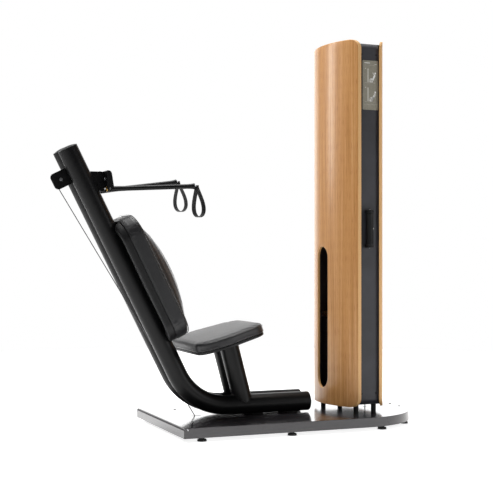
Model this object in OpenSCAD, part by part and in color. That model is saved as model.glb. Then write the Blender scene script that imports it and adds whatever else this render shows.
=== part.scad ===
// Seated cable pulldown machine: a wooden weight tower and a reclined bench on one low base.
// X runs from the bench back to the tower, Y across the machine, Z up, in millimetres.
// Inside the modules heights count from the deck's top face and X from the deck's straight end;
// placed() then sets the machine on the floor with its box centred on the origin.

/* [Base] */
// Length of the deck, from the straight end to the round end
deck_l = 1350; // [1250:5:1500]
// Width of the deck
deck_w = 772; // [700:2:860]
// Height of the rim below the deck's top face
rim_h = 48; // [46:1:60]
// Gap between the rim and the floor, bridged by the levelling feet
floor_gap = 19; // [14:1:30]

/* [Bench frame] */
// Outside diameter of the frame tubes
tube_d = 97; // [90:1:97]
// Gap between the two frame tubes, where the cables run
tube_gap = 10; // [10:1:14]
// Lean of the back post from upright, in degrees
post_lean = 26.6; // [24:0.1:29]
// Length of the post from the corner of the tube axes to its top
post_len = 1393; // [1380:1:1410]
// Radius of the bend at the tube axis
bend_r = 290; // [250:5:300]
// Where the post and floor axes of the tube would meet, along X
corner_x = 158; // [150:1:165]
// Front end of the floor run of the tube, along X
tube_front_x = 776; // [760:1:790]

/* [Pads] */
// Angle of the seat, front edge up, in degrees
seat_tilt = 15; // [10:0.5:18]
// Thickness of the seat pad, without its board
seat_pad_t = 48; // [40:1:55]
// Width of the back pad
back_w = 340; // [320:2:360]
// Length of the back pad, along the post
back_l = 652; // [620:2:660]
// How far the middle of the back pad stands proud of its edge
lumbar = 80; // [40:1:85]

/* [Arms] */
// Length of a guide arm, from its pivot to its mouth
arm_l = 416; // [400:1:430]
// Outside diameter of a guide arm
arm_d = 23; // [22:0.5:24]
// Height of the arm pivots above the deck
arm_z = 1112; // [1110:1:1114]
// Sideways splay of each arm, in degrees
arm_splay = 5.5; // [3:0.1:6]
// Upward pitch of the near arm at rest, in degrees
near_pitch = 2.8; // [2:0.1:6]
// Upward pitch of the far arm at rest, in degrees
far_pitch = 7.8; // [7:0.1:10]

/* [Straps] */
// Height of a hand loop, from the mouth to its lowest point
loop_h = 152; // [130:1:165]
// Width across a hand loop
loop_w = 80; // [65:1:85]
// Width of the webbing
webbing_w = 25; // [20:1:30]

/* [Tower] */
// Middle of the tower along X
tower_x = 1037.5; // [1030:0.5:1045]
// Width of the wooden shells
shell_w = 500; // [490:1:510]
// Height of the wooden shells
shell_h = 1860; // [1800:5:1900]
// Outer radius of the shells' curve
shell_r = 418; // [414:1:422]
// Thickness of the shells' plywood
shell_t = 13; // [10:0.5:15]
// Width of the slot in the front shell
slot_w = 115; // [100:1:120]
// Weight plates that stay down
resting_count = 12; // [8:1:12]
// Weight plates that are picked up
lifted_count = 4; // [1:1:6]

/* [Hidden] */
$fn = 96;

black = "#1d1d1f";
panel_black = "#35353a";
steel = "#b9bbbf";
wood = "#c89b69";
vinyl = "#262628";
brass = "#b08a3c";
deck_black = "#2c2b2e";

// Base
sheet_t = 4;
fold_r = 12;
deck_r = deck_w / 2;
deck_round_x = deck_l - deck_r;
rim_inset = 3;
deck_z = rim_h + floor_gap;
foot_spots = [[100, 350], [560, 350], [1057, 336], [1255, 205]];
crossbar_x = [330, 620, 900];
crossbar_w = 40;
crossbar_h = 32;
cable_slot_w = 12;
rear_slot = [168, 50];
tower_slot = [-12, 22];
foot_r_low = 23;
foot_r_high = 21;
foot_pad_h = 10;
foot_stem_r = 8;
foot_nut_r = 13;
foot_nut_h = 8;
deck_screws = [[168, 261], [1318, 50]];
side_screw_x = 40;
side_screw_z = [100, 1815];
screw_h = 2;

// Tubes
tube_r = tube_d / 2;
tube_wall = 3;
tube_y = tube_r + tube_gap / 2;
tube_z = tube_r + 6;
bend_lap = 0.4;
bend_thinning = 0.2;
bend_turn = 90 - post_lean;
bend_run = bend_r * tan(bend_turn / 2);
cap_plug = 14;
cap_rise = 9;
saddle_x = [500, 690];
saddle_l = 60;
saddle_h = 24;
saddle_side = 6;

// Seat: its frame has its origin where the post's axis meets the board's underside
seat_post_x = 427;
seat_post_h = 325.5;
seat_post_r = tube_r - 0.5;
board_t = 12;
board_scale = 0.965;
plate_t = 6;
plate_size = [150, 240, 18];
seat_screw_at = [62, 108];
// Corners of the seat in plan: along, across, corner radius
seat_corners = [[-215, 232, 70], [-70, 262, 260], [168, 200, 95]];

// Back pad, in the post's frame: x forward of the axis, z up along the post
back_mid_h = post_len - 730;
back_rear = 20;
back_seam = 54;
back_front = 130;
back_corner = 100;

// Cable route
cable_r = 1.75;
cable_y = 2.6;
sheave_t = 5;
groove_gap = 0.3;
flange = 2.3;
bore_gap = 0.05;
rear_r = 31;
turn_r = 16;
drop_r = 28;
foot_r = 18;
top_r = 51.5;
bush_r = 8;
rear_s = 118;
rear_p = -83;
rear_h = post_len - rear_s;
rear_x = post_x(rear_p, rear_h);
rear_z = post_z(rear_p, rear_h);
run_z = rear_z + rear_r;
turn_x = -300;
turn_y = cable_y + turn_r;
cross_x = turn_x + turn_r;
arm_y = 96.5;
drop_y = arm_y - drop_r;
drop_z = run_z - drop_r;
pivot_x = cross_x + bush_r;
low_z = -26;
up_x = 1140;
foot_x = up_x - foot_r;
base_x = 224;
top_x = up_x - top_r;
top_z = 1780;
stem_x = top_x - top_r;
route_line = atan2(rear_z - low_z, rear_x - base_x)
    - acos((rear_r - foot_r) / norm([rear_x - base_x, rear_z - low_z]));

// Rear bracket and the cheeks of every sheave
cheek_in = sheave_t + 0.6;
cheek_t = 3;
cheek_out = cheek_in + cheek_t;
axle_r = 4;
bracket_l = 80;
bracket_back = 41;
bracket_corner = 20;

// Crosshead
head_half = 115;
head_back = -290;
head_front = -256;
head_low = 1117;
head_high = 1199;
head_rake = 13;
head_wall = 3;
duct_back = -356;
duct_half = 60;
duct_wall = 4;
skirt_low = 1104;
ear_t = 3;
ear_gap = 2.5;
ear_r = 10;
notch_r = 20;
pin_r = 3.5;
pin_head_r = 4.8;

// Arms
arm_wall = 1.5;
arm_tail = 14;
arm_root_d = 26;
ear_in = arm_root_d / 2 + ear_gap;
arm_root_l = 26;
mouth_r = 15;
mouth_l = 34;
pull_angle = asin(bush_r / arm_l);

// Straps
webbing_t = 2.5;
near_loop_turn = 33;
far_loop_turn = 26;
loop_lean = 9;
loop_lead = 11;
slot_half = 3.5;
ball_r = 6;
link_r = 3;

// Tower
shell_z = 30;
shell_corner = 45;
front_x = tower_x - 149.5;
body_half_x = 56;
body_half_y = 235;
body_low = 43;
body_high = 1871;
body_corner = 30;
body_wall = 3;
cover_t = 3;
slot_low = 112;
slot_high = 845;
rod_y = 110;
rod_r = 10;
rod_stop_r = 22;
rail_y = 205;
rail_z = 90;
rail_h = 1730;
tower_foot_at = [50, 190];
tower_foot_r = 13;
stack_low = 72;
plate_pitch = 25;
plate_gap = 0.4;
plate_x = 135;
plate_y = 340;
stem_r = 14;
stem_bore = 7;
lifted_z = stack_low + resting_count * plate_pitch;
carriage_z = lifted_z + lifted_count * plate_pitch;
carriage_t = 30;
drum_r = 18;
drum_low = 850;
drum_high = 1014;
drum_x = 1032;
drum_y = -body_half_y - drum_r - 2;
lug_w = 39;
lug_t = 13;
sign_at = [1045, 1660];
sign_size = [90, 250, 5];
sign_t = 3;

// The machine's lowest X is the rounded corner of the rear bracket
origin_x = (deck_l + post_x(rear_p - bracket_back + bracket_corner, rear_h + bracket_l / 2 - bracket_corner)
    - bracket_corner) / 2;

// X and height of a point that is p in front of the post's axis and h up along it
function post_x(p, h) = corner_x - h * sin(post_lean) + p * cos(post_lean);
function post_z(p, h) = tube_z + h * cos(post_lean) + p * sin(post_lean);

// Polygon whose corners, each [x, y, radius], are rounded by arcs tangent to both sides
function rounded(c, steps = 8) = [for (i = [0:len(c) - 1])
    let (
        at = [c[i].x, c[i].y],
        before = c[(i + len(c) - 1) % len(c)],
        after = c[(i + 1) % len(c)],
        a = [before.x, before.y] - at,
        b = [after.x, after.y] - at,
        ua = a / norm(a),
        ub = b / norm(b),
        half = acos(ua * ub) / 2,
        middle = at + (ua + ub) / norm(ua + ub) * c[i][2] / sin(half),
        from = at + ua * c[i][2] / tan(half) - middle,
        to = at + ub * c[i][2] / tan(half) - middle,
        start = atan2(from.y, from.x),
        turn = atan2(from.x * to.y - from.y * to.x, from * to)
    )
    for (k = [0:steps]) middle + c[i][2] * [cos(start + turn * k / steps), sin(start + turn * k / steps)]];

function rounded_box(x, y, r, steps = 8) = rounded([[-x, -y, r], [x, -y, r], [x, y, r], [-x, y, r]], steps);

// Seat outline: the listed corners on one side and their mirror image on the other
function seat_outline() = rounded(concat([for (c = seat_corners) [c.x, -c.y, c[2]]],
    [for (i = [len(seat_corners) - 1:-1:0]) [seat_corners[i].x, seat_corners[i].y, seat_corners[i][2]]]));

module placed() {
    translate([-origin_x, 0, deck_z])
        children();
}

// Puts children on the far side for 1 and on the near side for -1
module at_side(side) {
    translate([0, side * tube_y, 0])
        children();
}

// The post's frame: x forward of the axis, z up along the post, origin at the corner of the axes
module on_post() {
    translate([corner_x, 0, tube_z])
        rotate([0, -post_lean, 0])
            children();
}

module on_seat() {
    translate([seat_post_x, 0, tube_z])
        rotate([0, -seat_tilt, 0])
            translate([0, 0, seat_post_h])
                children();
}

// A bar of radius r along Y
module across(x, z, r, y0, y1) {
    translate([x, y0, z])
        rotate([-90, 0, 0])
            cylinder(h = y1 - y0, r = r);
}

// A plate in the XZ plane, from y0 to y1
module upright(y0, y1) {
    translate([0, y1, 0])
        rotate([90, 0, 0])
            linear_extrude(y1 - y0)
                children();
}

// A plate in the YZ plane, from x0 to x1
module crosswise(x0, x1) {
    translate([x0, 0, 0])
        rotate([90, 0, 90])
            linear_extrude(x1 - x0)
                children();
}

// Rectangle with true round corners, centred
module soft_rect(w, h, r) {
    square([w - 2 * r, h], center = true);
    square([w, h - 2 * r], center = true);
    for (x = [-1, 1], y = [-1, 1])
        translate([x * (w / 2 - r), y * (h / 2 - r)])
            circle(r);
}

module deck_outline(inset, from_x) {
    intersection() {
        union() {
            translate([deck_round_x, 0])
                circle(deck_r - inset, $fn = 180);
            translate([from_x, -deck_r + inset])
                square([deck_round_x - from_x, deck_w - 2 * inset]);
        }
        translate([from_x, -deck_r])
            square([deck_l, deck_w]);
    }
}

module base_deck() {
    color(deck_black) placed() {
        difference() {
            translate([0, 0, -sheet_t])
                linear_extrude(sheet_t)
                    deck_outline(0, fold_r);
            for (slot = [rear_slot, [up_x + tower_slot[0], tower_slot[1]]])
                translate([slot[0], -cable_slot_w / 2, -sheet_t - 1])
                    cube([slot[1], cable_slot_w, sheet_t + 2]);
        }
        difference() {
            across(fold_r, -fold_r, fold_r, -deck_r, deck_r);
            across(fold_r, -fold_r, fold_r - sheet_t, -deck_r - 1, deck_r + 1);
            translate([fold_r, -deck_r - 1, -3 * fold_r])
                cube([2 * fold_r, deck_w + 2, 4 * fold_r]);
            translate([-fold_r, -deck_r - 1, -3 * fold_r])
                cube([4 * fold_r, deck_w + 2, 2 * fold_r]);
        }
        translate([0, -deck_r, -rim_h])
            cube([sheet_t, deck_w, rim_h - fold_r]);
    }
}

module base_rim() {
    color(deck_black) placed()
        difference() {
            translate([0, 0, -rim_h])
                linear_extrude(rim_h - sheet_t)
                    difference() {
                        deck_outline(rim_inset, sheet_t + 0.5);
                        deck_outline(rim_inset + sheet_t, 0);
                    }
            difference() {
                across(fold_r, -fold_r, fold_r + 0.1, -deck_r, deck_r);
                across(fold_r, -fold_r, fold_r - sheet_t - 0.1, -deck_r, deck_r);
                translate([0, -deck_r, -3 * fold_r])
                    cube([2 * fold_r, deck_w, 2 * fold_r]);
            }
        }
}

module base_crossbars() {
    color(black) placed()
        for (x = crossbar_x)
            translate([x - crossbar_w / 2, -deck_r + 10, -sheet_t - crossbar_h])
                cube([crossbar_w, deck_w - 20, crossbar_h]);
}

module levelling_feet() {
    color(black) placed()
        for (spot = foot_spots, side = [-1, 1])
            translate([spot.x, side * spot.y, -deck_z]) {
                cylinder(h = foot_pad_h, r1 = foot_r_low, r2 = foot_r_high);
                cylinder(h = deck_z - sheet_t, r = foot_stem_r);
                translate([0, 0, foot_pad_h])
                    cylinder(h = foot_nut_h, r = foot_nut_r, $fn = 6);
            }
}

// Small button-head screws of the deck and of the tower's side panels
module small_screws() {
    color(steel) placed() {
        for (at = deck_screws, side = [-1, 1])
            translate([at.x, side * at.y, 0])
                cylinder(h = screw_h, r1 = 6, r2 = 4);
        for (x = [-1, 1], side = [-1, 1], z = side_screw_z)
            translate([tower_x + x * side_screw_x, side * body_half_y, z])
                rotate([-side * 90, 0, 0])
                    cylinder(h = screw_h, r1 = 5, r2 = 3.5);
    }
}

module tube_section(thinning = 0) {
    difference() {
        circle(tube_r - thinning);
        circle(tube_r - tube_wall + thinning);
    }
}

// One bent tube: post, floor run and the bend between them, its wall drawn a little thinner
module frame_tube(side) {
    color(black) placed() at_side(side) {
        on_post()
            translate([0, 0, bend_run])
                linear_extrude(post_len - bend_run)
                    tube_section();
        translate([corner_x + bend_run, 0, tube_z])
            rotate([0, 90, 0])
                linear_extrude(tube_front_x - corner_x - bend_run)
                    tube_section();
        translate([corner_x + bend_run, 0, tube_z + bend_r])
            rotate([90, 0, 0])
                rotate([0, 0, -90 - bend_turn - bend_lap])
                    rotate_extrude(angle = bend_turn + 2 * bend_lap)
                        translate([bend_r, 0])
                            tube_section(bend_thinning);
    }
}

module frame_tube_near() {
    frame_tube(-1);
}

module frame_tube_far() {
    frame_tube(1);
}

// Plug and domed head that close a tube, with the tube's end at z = 0
module tube_cap() {
    dome_r = (tube_r * tube_r + cap_rise * cap_rise) / (2 * cap_rise);
    translate([0, 0, -cap_plug])
        cylinder(h = cap_plug, r = tube_r - tube_wall - bore_gap);
    intersection() {
        cylinder(h = cap_rise + 3, r = tube_r);
        translate([0, 0, cap_rise + 3 - dome_r])
            sphere(dome_r);
    }
}

module tube_end_caps() {
    color(black) placed()
        for (side = [-1, 1])
            at_side(side) {
                on_post()
                    translate([0, 0, post_len])
                        tube_cap();
                translate([tube_front_x, 0, tube_z])
                    rotate([0, 90, 0])
                        tube_cap();
            }
}

module frame_saddles() {
    color(black) placed()
        for (x = saddle_x)
            difference() {
                translate([x - saddle_l / 2, -tube_y - saddle_side, 0])
                    cube([saddle_l, 2 * (tube_y + saddle_side), saddle_h]);
                for (side = [-1, 1])
                    at_side(side)
                        translate([x - saddle_l, 0, tube_z])
                            rotate([0, 90, 0])
                                cylinder(h = 2 * saddle_l, r = tube_r);
            }
}

// One seat post, its foot cut to sit on the floor run of the frame tube
module seat_post(side) {
    color(black) placed() at_side(side)
        difference() {
            translate([seat_post_x, 0, tube_z])
                rotate([0, -seat_tilt, 0])
                    difference() {
                        cylinder(h = seat_post_h - plate_t, r = seat_post_r);
                        translate([0, 0, -1])
                            cylinder(h = seat_post_h, r = seat_post_r - tube_wall);
                    }
            translate([seat_post_x - 200, 0, tube_z])
                rotate([0, 90, 0])
                    cylinder(h = 400, r = tube_r);
        }
}

module seat_post_near() {
    seat_post(-1);
}

module seat_post_far() {
    seat_post(1);
}

module seat_mount_plate() {
    color(black) placed() on_seat()
        translate([0, 0, -plate_t])
            linear_extrude(plate_t)
                soft_rect(plate_size.x, plate_size.y, plate_size.z);
}

module seat_screws() {
    color(steel) placed() on_seat()
        for (x = [-1, 1], y = [-1, 1])
            translate([x * seat_screw_at.x, y * seat_screw_at.y, -plate_t - 4])
                cylinder(h = 4, r1 = 5, r2 = 7);
}

module seat_board() {
    color(black) placed() on_seat()
        linear_extrude(board_t)
            scale(board_scale)
                polygon(seat_outline());
}

// Closed pad over an outline centred on the origin. Each ring is [scale, height, crown]; the crown
// lifts a point by 1 minus the square of its place along x and along y, out of half sizes hx and hy.
module pad_solid(outline, rings, hx, hy) {
    n = len(outline);
    m = len(rings);
    points = concat(
        [for (g = rings, q = outline)
            [g[0] * q.x, g[0] * q.y,
             g[1] + g[2] * (1 - pow(g[0] * q.x / hx, 2)) * (1 - pow(g[0] * q.y / hy, 2))]],
        [[0, 0, rings[0][1]], [0, 0, rings[m - 1][1] + rings[m - 1][2]]]);
    sides = [for (j = [0:m - 2], i = [0:n - 1], half = [0, 1])
        half == 0 ? [j * n + i, (j + 1) * n + i, (j + 1) * n + (i + 1) % n]
                  : [j * n + i, (j + 1) * n + (i + 1) % n, j * n + (i + 1) % n]];
    low = [for (i = [0:n - 1]) [m * n, i, (i + 1) % n]];
    high = [for (i = [0:n - 1]) [m * n + 1, (m - 1) * n + (i + 1) % n, (m - 1) * n + i]];
    polyhedron(points, concat(sides, low, high), convexity = 4);
}

module seat_pad() {
    t = seat_pad_t;
    rings = [[0.985, 0, 0], [1, 6, 0], [1, t - 10, 0], [0.985, t - 3, 0], [0.95, t - 1, 1], [0.7, t, 3],
        [0.35, t, 4]];
    color(vinyl) placed() on_seat()
        translate([0, 0, board_t])
            pad_solid(seat_outline(), rings, 220, 262);
}

module back_shell() {
    color(black) placed() on_post()
        difference() {
            translate([back_rear, 0, back_mid_h])
                rotate([90, 0, 90])
                    linear_extrude(back_seam - back_rear)
                        soft_rect(back_w - 8, back_l - 8, back_corner);
            for (side = [-1, 1])
                at_side(side)
                    translate([0, 0, bend_run + 20])
                        cylinder(h = post_len, r = tube_r);
            translate([0, -tube_y, bend_run + 20])
                cube([back_rear + 22, 2 * tube_y, post_len]);
        }
}

module back_pad() {
    rings = [[0.99, back_seam, 0], [1, back_seam + 8, 0], [1, back_front - 20, 0],
        [0.985, back_front - 8, 0], [0.95, back_front, 2], [0.86, back_front, 0.55 * lumbar],
        [0.7, back_front, 0.9 * lumbar], [0.45, back_front, lumbar], [0.2, back_front, lumbar]];
    color(vinyl) placed() on_post()
        translate([0, 0, back_mid_h])
            rotate([90, 0, 90])
                pad_solid(rounded_box(back_w / 2, back_l / 2, back_corner), rings, back_w / 2, back_l / 2);
}

// Housing behind the post: two cheeks with a web that is shaped to the tubes
module rear_bracket() {
    mid = rear_h;
    color(black) placed() on_post()
        difference() {
            union() {
                for (side = [-1, 1])
                    translate([0, side > 0 ? cheek_in : -cheek_out, 0])
                        upright(0, cheek_t)
                            union() {
                                translate([rear_p + 8, mid])
                                    soft_rect(2 * (bracket_back + 8), bracket_l, bracket_corner);
                                translate([rear_p, mid - bracket_l / 2])
                                    square([56, bracket_l]);
                            }
                for (z = [mid - bracket_l / 2, mid + bracket_l / 2 - 20])
                    translate([-38, -cheek_out, z])
                        cube([16, 2 * cheek_out, 20]);
            }
            for (side = [-1, 1])
                at_side(side)
                    translate([0, 0, mid - 100])
                        cylinder(h = 200, r = tube_r);
            across(rear_p, mid, axle_r + bore_gap, -20, 20);
        }
}

module rear_axle_bolt() {
    color(steel) placed() {
        across(rear_x, rear_z, axle_r, -cheek_out, cheek_out);
        across(rear_x, rear_z, 7.5, -cheek_out - 3.5, -cheek_out);
        across(rear_x, rear_z, 7.5, cheek_out, cheek_out + 3.5);
    }
}

// Grooved wheel about Z, centred: pitch radius r, bore radius b
module sheave(r, b) {
    bottom = r - cable_r - groove_gap;
    mouth = cable_r + groove_gap / 2;
    rim = r + flange;
    half = sheave_t / 2;
    rotate_extrude()
        polygon([[b, -half], [rim, -half], [rim, -half + 0.3], [bottom + cable_r, -mouth], [bottom, -0.9],
            [bottom, 0.9], [bottom + cable_r, mouth], [rim, half - 0.3], [rim, half], [b, half]]);
}

// Two sheaves side by side on one axle along Y
module sheave_pair(x, z, r) {
    for (side = [-1, 1])
        translate([x, side * cable_y, z])
            rotate([90, 0, 0])
                sheave(r, axle_r + bore_gap);
}

module rear_sheaves() {
    color(steel) placed()
        sheave_pair(rear_x, rear_z, rear_r);
}

// Box with two side skirts between the post and the crosshead, cut to the tubes and open to the front
module crosshead_bracket() {
    long = head_back - duct_back;
    tall = head_high - head_low - 5;
    color(black) placed()
        difference() {
            union() {
                translate([duct_back, -duct_half, head_low + 2])
                    cube([long, 2 * duct_half, tall]);
                for (y = [-duct_half, duct_half - duct_wall])
                    translate([duct_back, y, skirt_low])
                        cube([long, duct_wall, head_low + 4 - skirt_low]);
            }
            translate([duct_back - 1, -duct_half + duct_wall, head_low + 2 + duct_wall])
                cube([long + 2, 2 * (duct_half - duct_wall), tall - 2 * duct_wall]);
            for (side = [-1, 1])
                at_side(side)
                    on_post()
                        translate([0, 0, rear_h - 200])
                            cylinder(h = 400, r = tube_r);
            for (side = [-1, 1])
                translate([turn_x, side * turn_y, head_low])
                    cylinder(h = 100, r = pin_r + bore_gap);
        }
}

// Profile of the crosshead, its front face raked and its top front edge rounded
module head_profile(inset) {
    back = head_back + inset;
    front = head_front - inset;
    low = head_low + inset;
    high = head_high - inset;
    polygon(rounded([[back, low, 2], [front, low, 5], [front - head_rake, high, 18 - inset],
        [back, high, 2]]));
}

module crosshead_shell() {
    color(black) placed()
        difference() {
            union() {
                upright(-head_half, head_half)
                    head_profile(0);
                for (side = [-1, 1], ear = [-1, 1])
                    translate([0, side * arm_y + ear * (ear_in + ear_t / 2), 0])
                        upright(-ear_t / 2, ear_t / 2) {
                            translate([pivot_x, arm_z])
                                circle(ear_r);
                            translate([pivot_x - ear_r, arm_z])
                                square([2 * ear_r, head_low - arm_z + 1]);
                        }
            }
            upright(-head_half + head_wall, head_half - head_wall)
                head_profile(head_wall);
            translate([head_back - 1, -42, run_z - 6])
                cube([head_wall + 2, 84, 12]);
            for (side = [-1, 1]) {
                translate([cross_x - 5, side * arm_y - 5, head_low - 1])
                    cube([10, 10, head_wall + 2]);
                translate([head_back - 1, side * drop_y, drop_z])
                    rotate([0, 90, 0])
                        cylinder(h = head_wall + 2, r = pin_r + bore_gap);
                across(pivot_x, arm_z, pin_r + bore_gap, side * arm_y - 20, side * arm_y + 20);
                across(pivot_x, arm_z, notch_r, side * arm_y - ear_in, side * arm_y + ear_in);
                translate([pivot_x, side * arm_y - ear_in, arm_z - notch_r])
                    cube([50, 2 * ear_in, 2 * notch_r]);
            }
        }
}

// Upright pins that the turn sheaves run on, each with a spacer below its sheave and a head on top
module turn_sheave_pins() {
    top = head_high - 3;
    color(steel) placed()
        for (side = [-1, 1])
            translate([turn_x, side * turn_y, 0]) {
                translate([0, 0, head_low + 2])
                    cylinder(h = top - head_low - 2, r = pin_r);
                translate([0, 0, head_low + 6])
                    cylinder(h = run_z - sheave_t / 2 - 0.4 - head_low - 6, r = 6);
                translate([0, 0, top])
                    cylinder(h = 4, r = 6);
            }
}

module turn_sheave(side) {
    color(steel) placed()
        translate([turn_x, side * turn_y, run_z])
            sheave(turn_r, pin_r + bore_gap);
}

module turn_sheave_near() {
    turn_sheave(-1);
}

module turn_sheave_far() {
    turn_sheave(1);
}

// Bolts along X that the drop sheaves run on, their bright heads on the crosshead's back
module drop_sheave_bolts() {
    color(steel) placed()
        for (side = [-1, 1])
            translate([head_back, side * drop_y, drop_z])
                rotate([0, 90, 0]) {
                    cylinder(h = 12, r = pin_r);
                    translate([0, 0, -3])
                        cylinder(h = 3, r = 7);
                }
}

module drop_sheave(side) {
    color(steel) placed()
        translate([cross_x, side * drop_y, drop_z])
            rotate([0, 90, 0])
                sheave(drop_r, pin_r + bore_gap);
}

module drop_sheave_near() {
    drop_sheave(-1);
}

module drop_sheave_far() {
    drop_sheave(1);
}

module arm_pivot_pins() {
    reach = ear_in + ear_t;
    color(steel) placed()
        for (side = [-1, 1]) {
            across(pivot_x, arm_z, pin_r, side * arm_y - reach, side * arm_y + reach);
            for (end = [-1, 1])
                across(pivot_x, arm_z, pin_head_r, side * arm_y + (end < 0 ? -reach - 2 : reach),
                    side * arm_y + (end < 0 ? -reach : reach + 2));
        }
}

// Brass guide bushes on the arm pivots, where each cable turns forward into its arm
module arm_bushes() {
    bore = pin_r + 0.02;
    groove = bush_r - cable_r - groove_gap;
    color(brass) placed()
        for (side = [-1, 1])
            translate([pivot_x, side * arm_y, arm_z])
                rotate([90, 0, 0])
                    rotate_extrude()
                        polygon([[bore, -5], [7.5, -5], [7.5, -4], [groove, -2], [groove, 2], [7.5, 4],
                            [7.5, 5], [bore, 5]]);
}

// The arm's frame: origin at the pivot, x along the arm
module on_arm(side) {
    translate([pivot_x, side * arm_y, arm_z])
        rotate([0, side < 0 ? -near_pitch : -far_pitch, side * arm_splay])
            children();
}

// Cuts the pivot hole and the slot that lets the cable into the arm from above
module arm_openings(side) {
    across(pivot_x, arm_z, pin_r + bore_gap, side * arm_y - 20, side * arm_y + 20);
    on_arm(side)
        translate([-arm_tail - 1, -slot_half, 0])
            cube([arm_tail + 3, 2 * slot_half, 30]);
}

module arm_tube(side) {
    inner = arm_d / 2 - arm_wall;
    root = arm_root_d / 2;
    color(black) placed()
        difference() {
            on_arm(side)
                rotate([0, 90, 0])
                    rotate_extrude()
                        polygon([[root - 2, -arm_tail + 4], [root, -arm_tail + 4], [root, arm_root_l],
                            [arm_d / 2, arm_root_l + 60], [arm_d / 2, arm_l - mouth_l],
                            [arm_d / 2 + 1.2, arm_l - 14], [mouth_r, arm_l - 2], [mouth_r - 0.5, arm_l],
                            [mouth_r - 1.5, arm_l], [inner + 1.5, arm_l - 12], [inner, arm_l - mouth_l],
                            [inner, arm_root_l + 60], [root - 2, arm_root_l]]);
            arm_openings(side);
        }
}

module arm_tube_near() {
    arm_tube(-1);
}

module arm_tube_far() {
    arm_tube(1);
}

// Brass ring that closes the rear end of an arm
module arm_ferrule(side) {
    root = arm_root_d / 2;
    inner = root - 2.5;
    color(brass) placed()
        difference() {
            on_arm(side)
                translate([-arm_tail, 0, 0])
                    rotate([0, 90, 0])
                        rotate_extrude()
                            polygon([[inner, 0], [root - 0.6, 0], [root, 0.6], [root, 4], [inner, 4]]);
            arm_openings(side);
        }
}

module arm_ferrule_near() {
    arm_ferrule(-1);
}

module arm_ferrule_far() {
    arm_ferrule(1);
}

// Unit vectors of the row's axes, and the points of an arc about c in the plane of u and v
along_x = [1, 0, 0];
along_y = [0, 1, 0];
along_z = [0, 0, 1];
function arc(c, u, v, r, a0, turn, steps) = [for (k = [0:steps])
    c + r * (cos(a0 + turn * k / steps) * u + sin(a0 + turn * k / steps) * v)];

// Route of one cable, held all the way: stack, top sheave, foot sheave, base run, back of the post,
// rear sheave, crosshead and down onto the arm's bush
function route(side) = let (
        y = side * cable_y,
        pitch = (side < 0 ? near_pitch : far_pitch) + pull_angle
    ) concat(
        [[stem_x, y, carriage_z + carriage_t - 20]],
        arc([top_x, y, top_z], along_x, along_z, top_r, 180, -180, 24),
        arc([foot_x, y, low_z], along_x, along_z, foot_r, 0, -90, 8),
        arc([base_x, y, low_z], along_x, along_z, foot_r, -90, route_line - 90, 6),
        arc([rear_x, y, rear_z], along_x, along_z, rear_r, 180 + route_line, -90 - route_line, 12),
        arc([turn_x, side * turn_y, run_z], along_x, along_y, turn_r, -side * 90, side * 90, 8),
        arc([cross_x, side * drop_y, drop_z], along_y, along_z, drop_r, 90, -side * 90, 9),
        arc([pivot_x, side * arm_y, arm_z], along_x, along_z, bush_r, 180, 86 + pitch, 8));

function unit(v) = v / norm(v);

// Ways that a route heads at each of its points, and a normal carried along it without twist
function headings(path) = [for (i = [0:len(path) - 1])
    unit(path[min(i + 1, len(path) - 1)] - path[max(i - 1, 0)])];
function normals(ways, i, n) = i == len(ways) ? []
    : let (m = unit(n - (n * ways[i]) * ways[i])) concat([m], normals(ways, i + 1, m));

// Closed tube of radius r along a route
module swept_cable(path, r, sides) {
    ways = headings(path);
    ups = normals(ways, 0, along_y);
    last = len(path) - 1;
    points = [for (i = [0:last], k = [0:sides - 1])
        path[i] + r * (cos(360 * k / sides) * ups[i] + sin(360 * k / sides) * cross(ways[i], ups[i]))];
    walls = [for (i = [0:last - 1], k = [0:sides - 1], half = [0, 1])
        let (a = i * sides + k, b = i * sides + (k + 1) % sides)
        half == 0 ? [a, a + sides, b + sides] : [a, b + sides, b]];
    ends = [[for (k = [0:sides - 1]) k], [for (k = [sides - 1:-1:0]) last * sides + k]];
    polyhedron(points, concat(walls, ends), convexity = 8);
}

module cable(side) {
    color(steel) placed()
        swept_cable(route(side), cable_r, 8);
}

module cable_near() {
    cable(-1);
}

module cable_far() {
    cable(1);
}

// Places children at the end of an arm's cable, with z along it
module at_cable_end(side) {
    on_arm(side)
        rotate([0, -pull_angle, 0])
            translate([arm_l * cos(pull_angle) - 4, 0, -bush_r])
                rotate([0, 90, 0])
                    children();
}

// The stretch of cable that draws out of an arm, with the ball and the link swaged on its end
module pull_cable(side) {
    run = arm_l * cos(pull_angle) - 14;
    color(steel) placed()
        at_cable_end(side) {
            translate([0, 0, -run])
                cylinder(h = run, r = cable_r, $fn = 24);
            sphere(ball_r, $fn = 32);
            cylinder(h = loop_lead + 2, r = link_r, $fn = 24);
        }
}

module pull_cable_near() {
    pull_cable(-1);
}

module pull_cable_far() {
    pull_cable(1);
}

// Half width of a hand loop at a turn of t degrees from its top, and its drop there
function loop_x(t, w) = 0.712 * w * sin(t) * pow(sin(t / 2), 1.5);
function loop_z(t, h) = -h * (1 - cos(t)) / 2;

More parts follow.
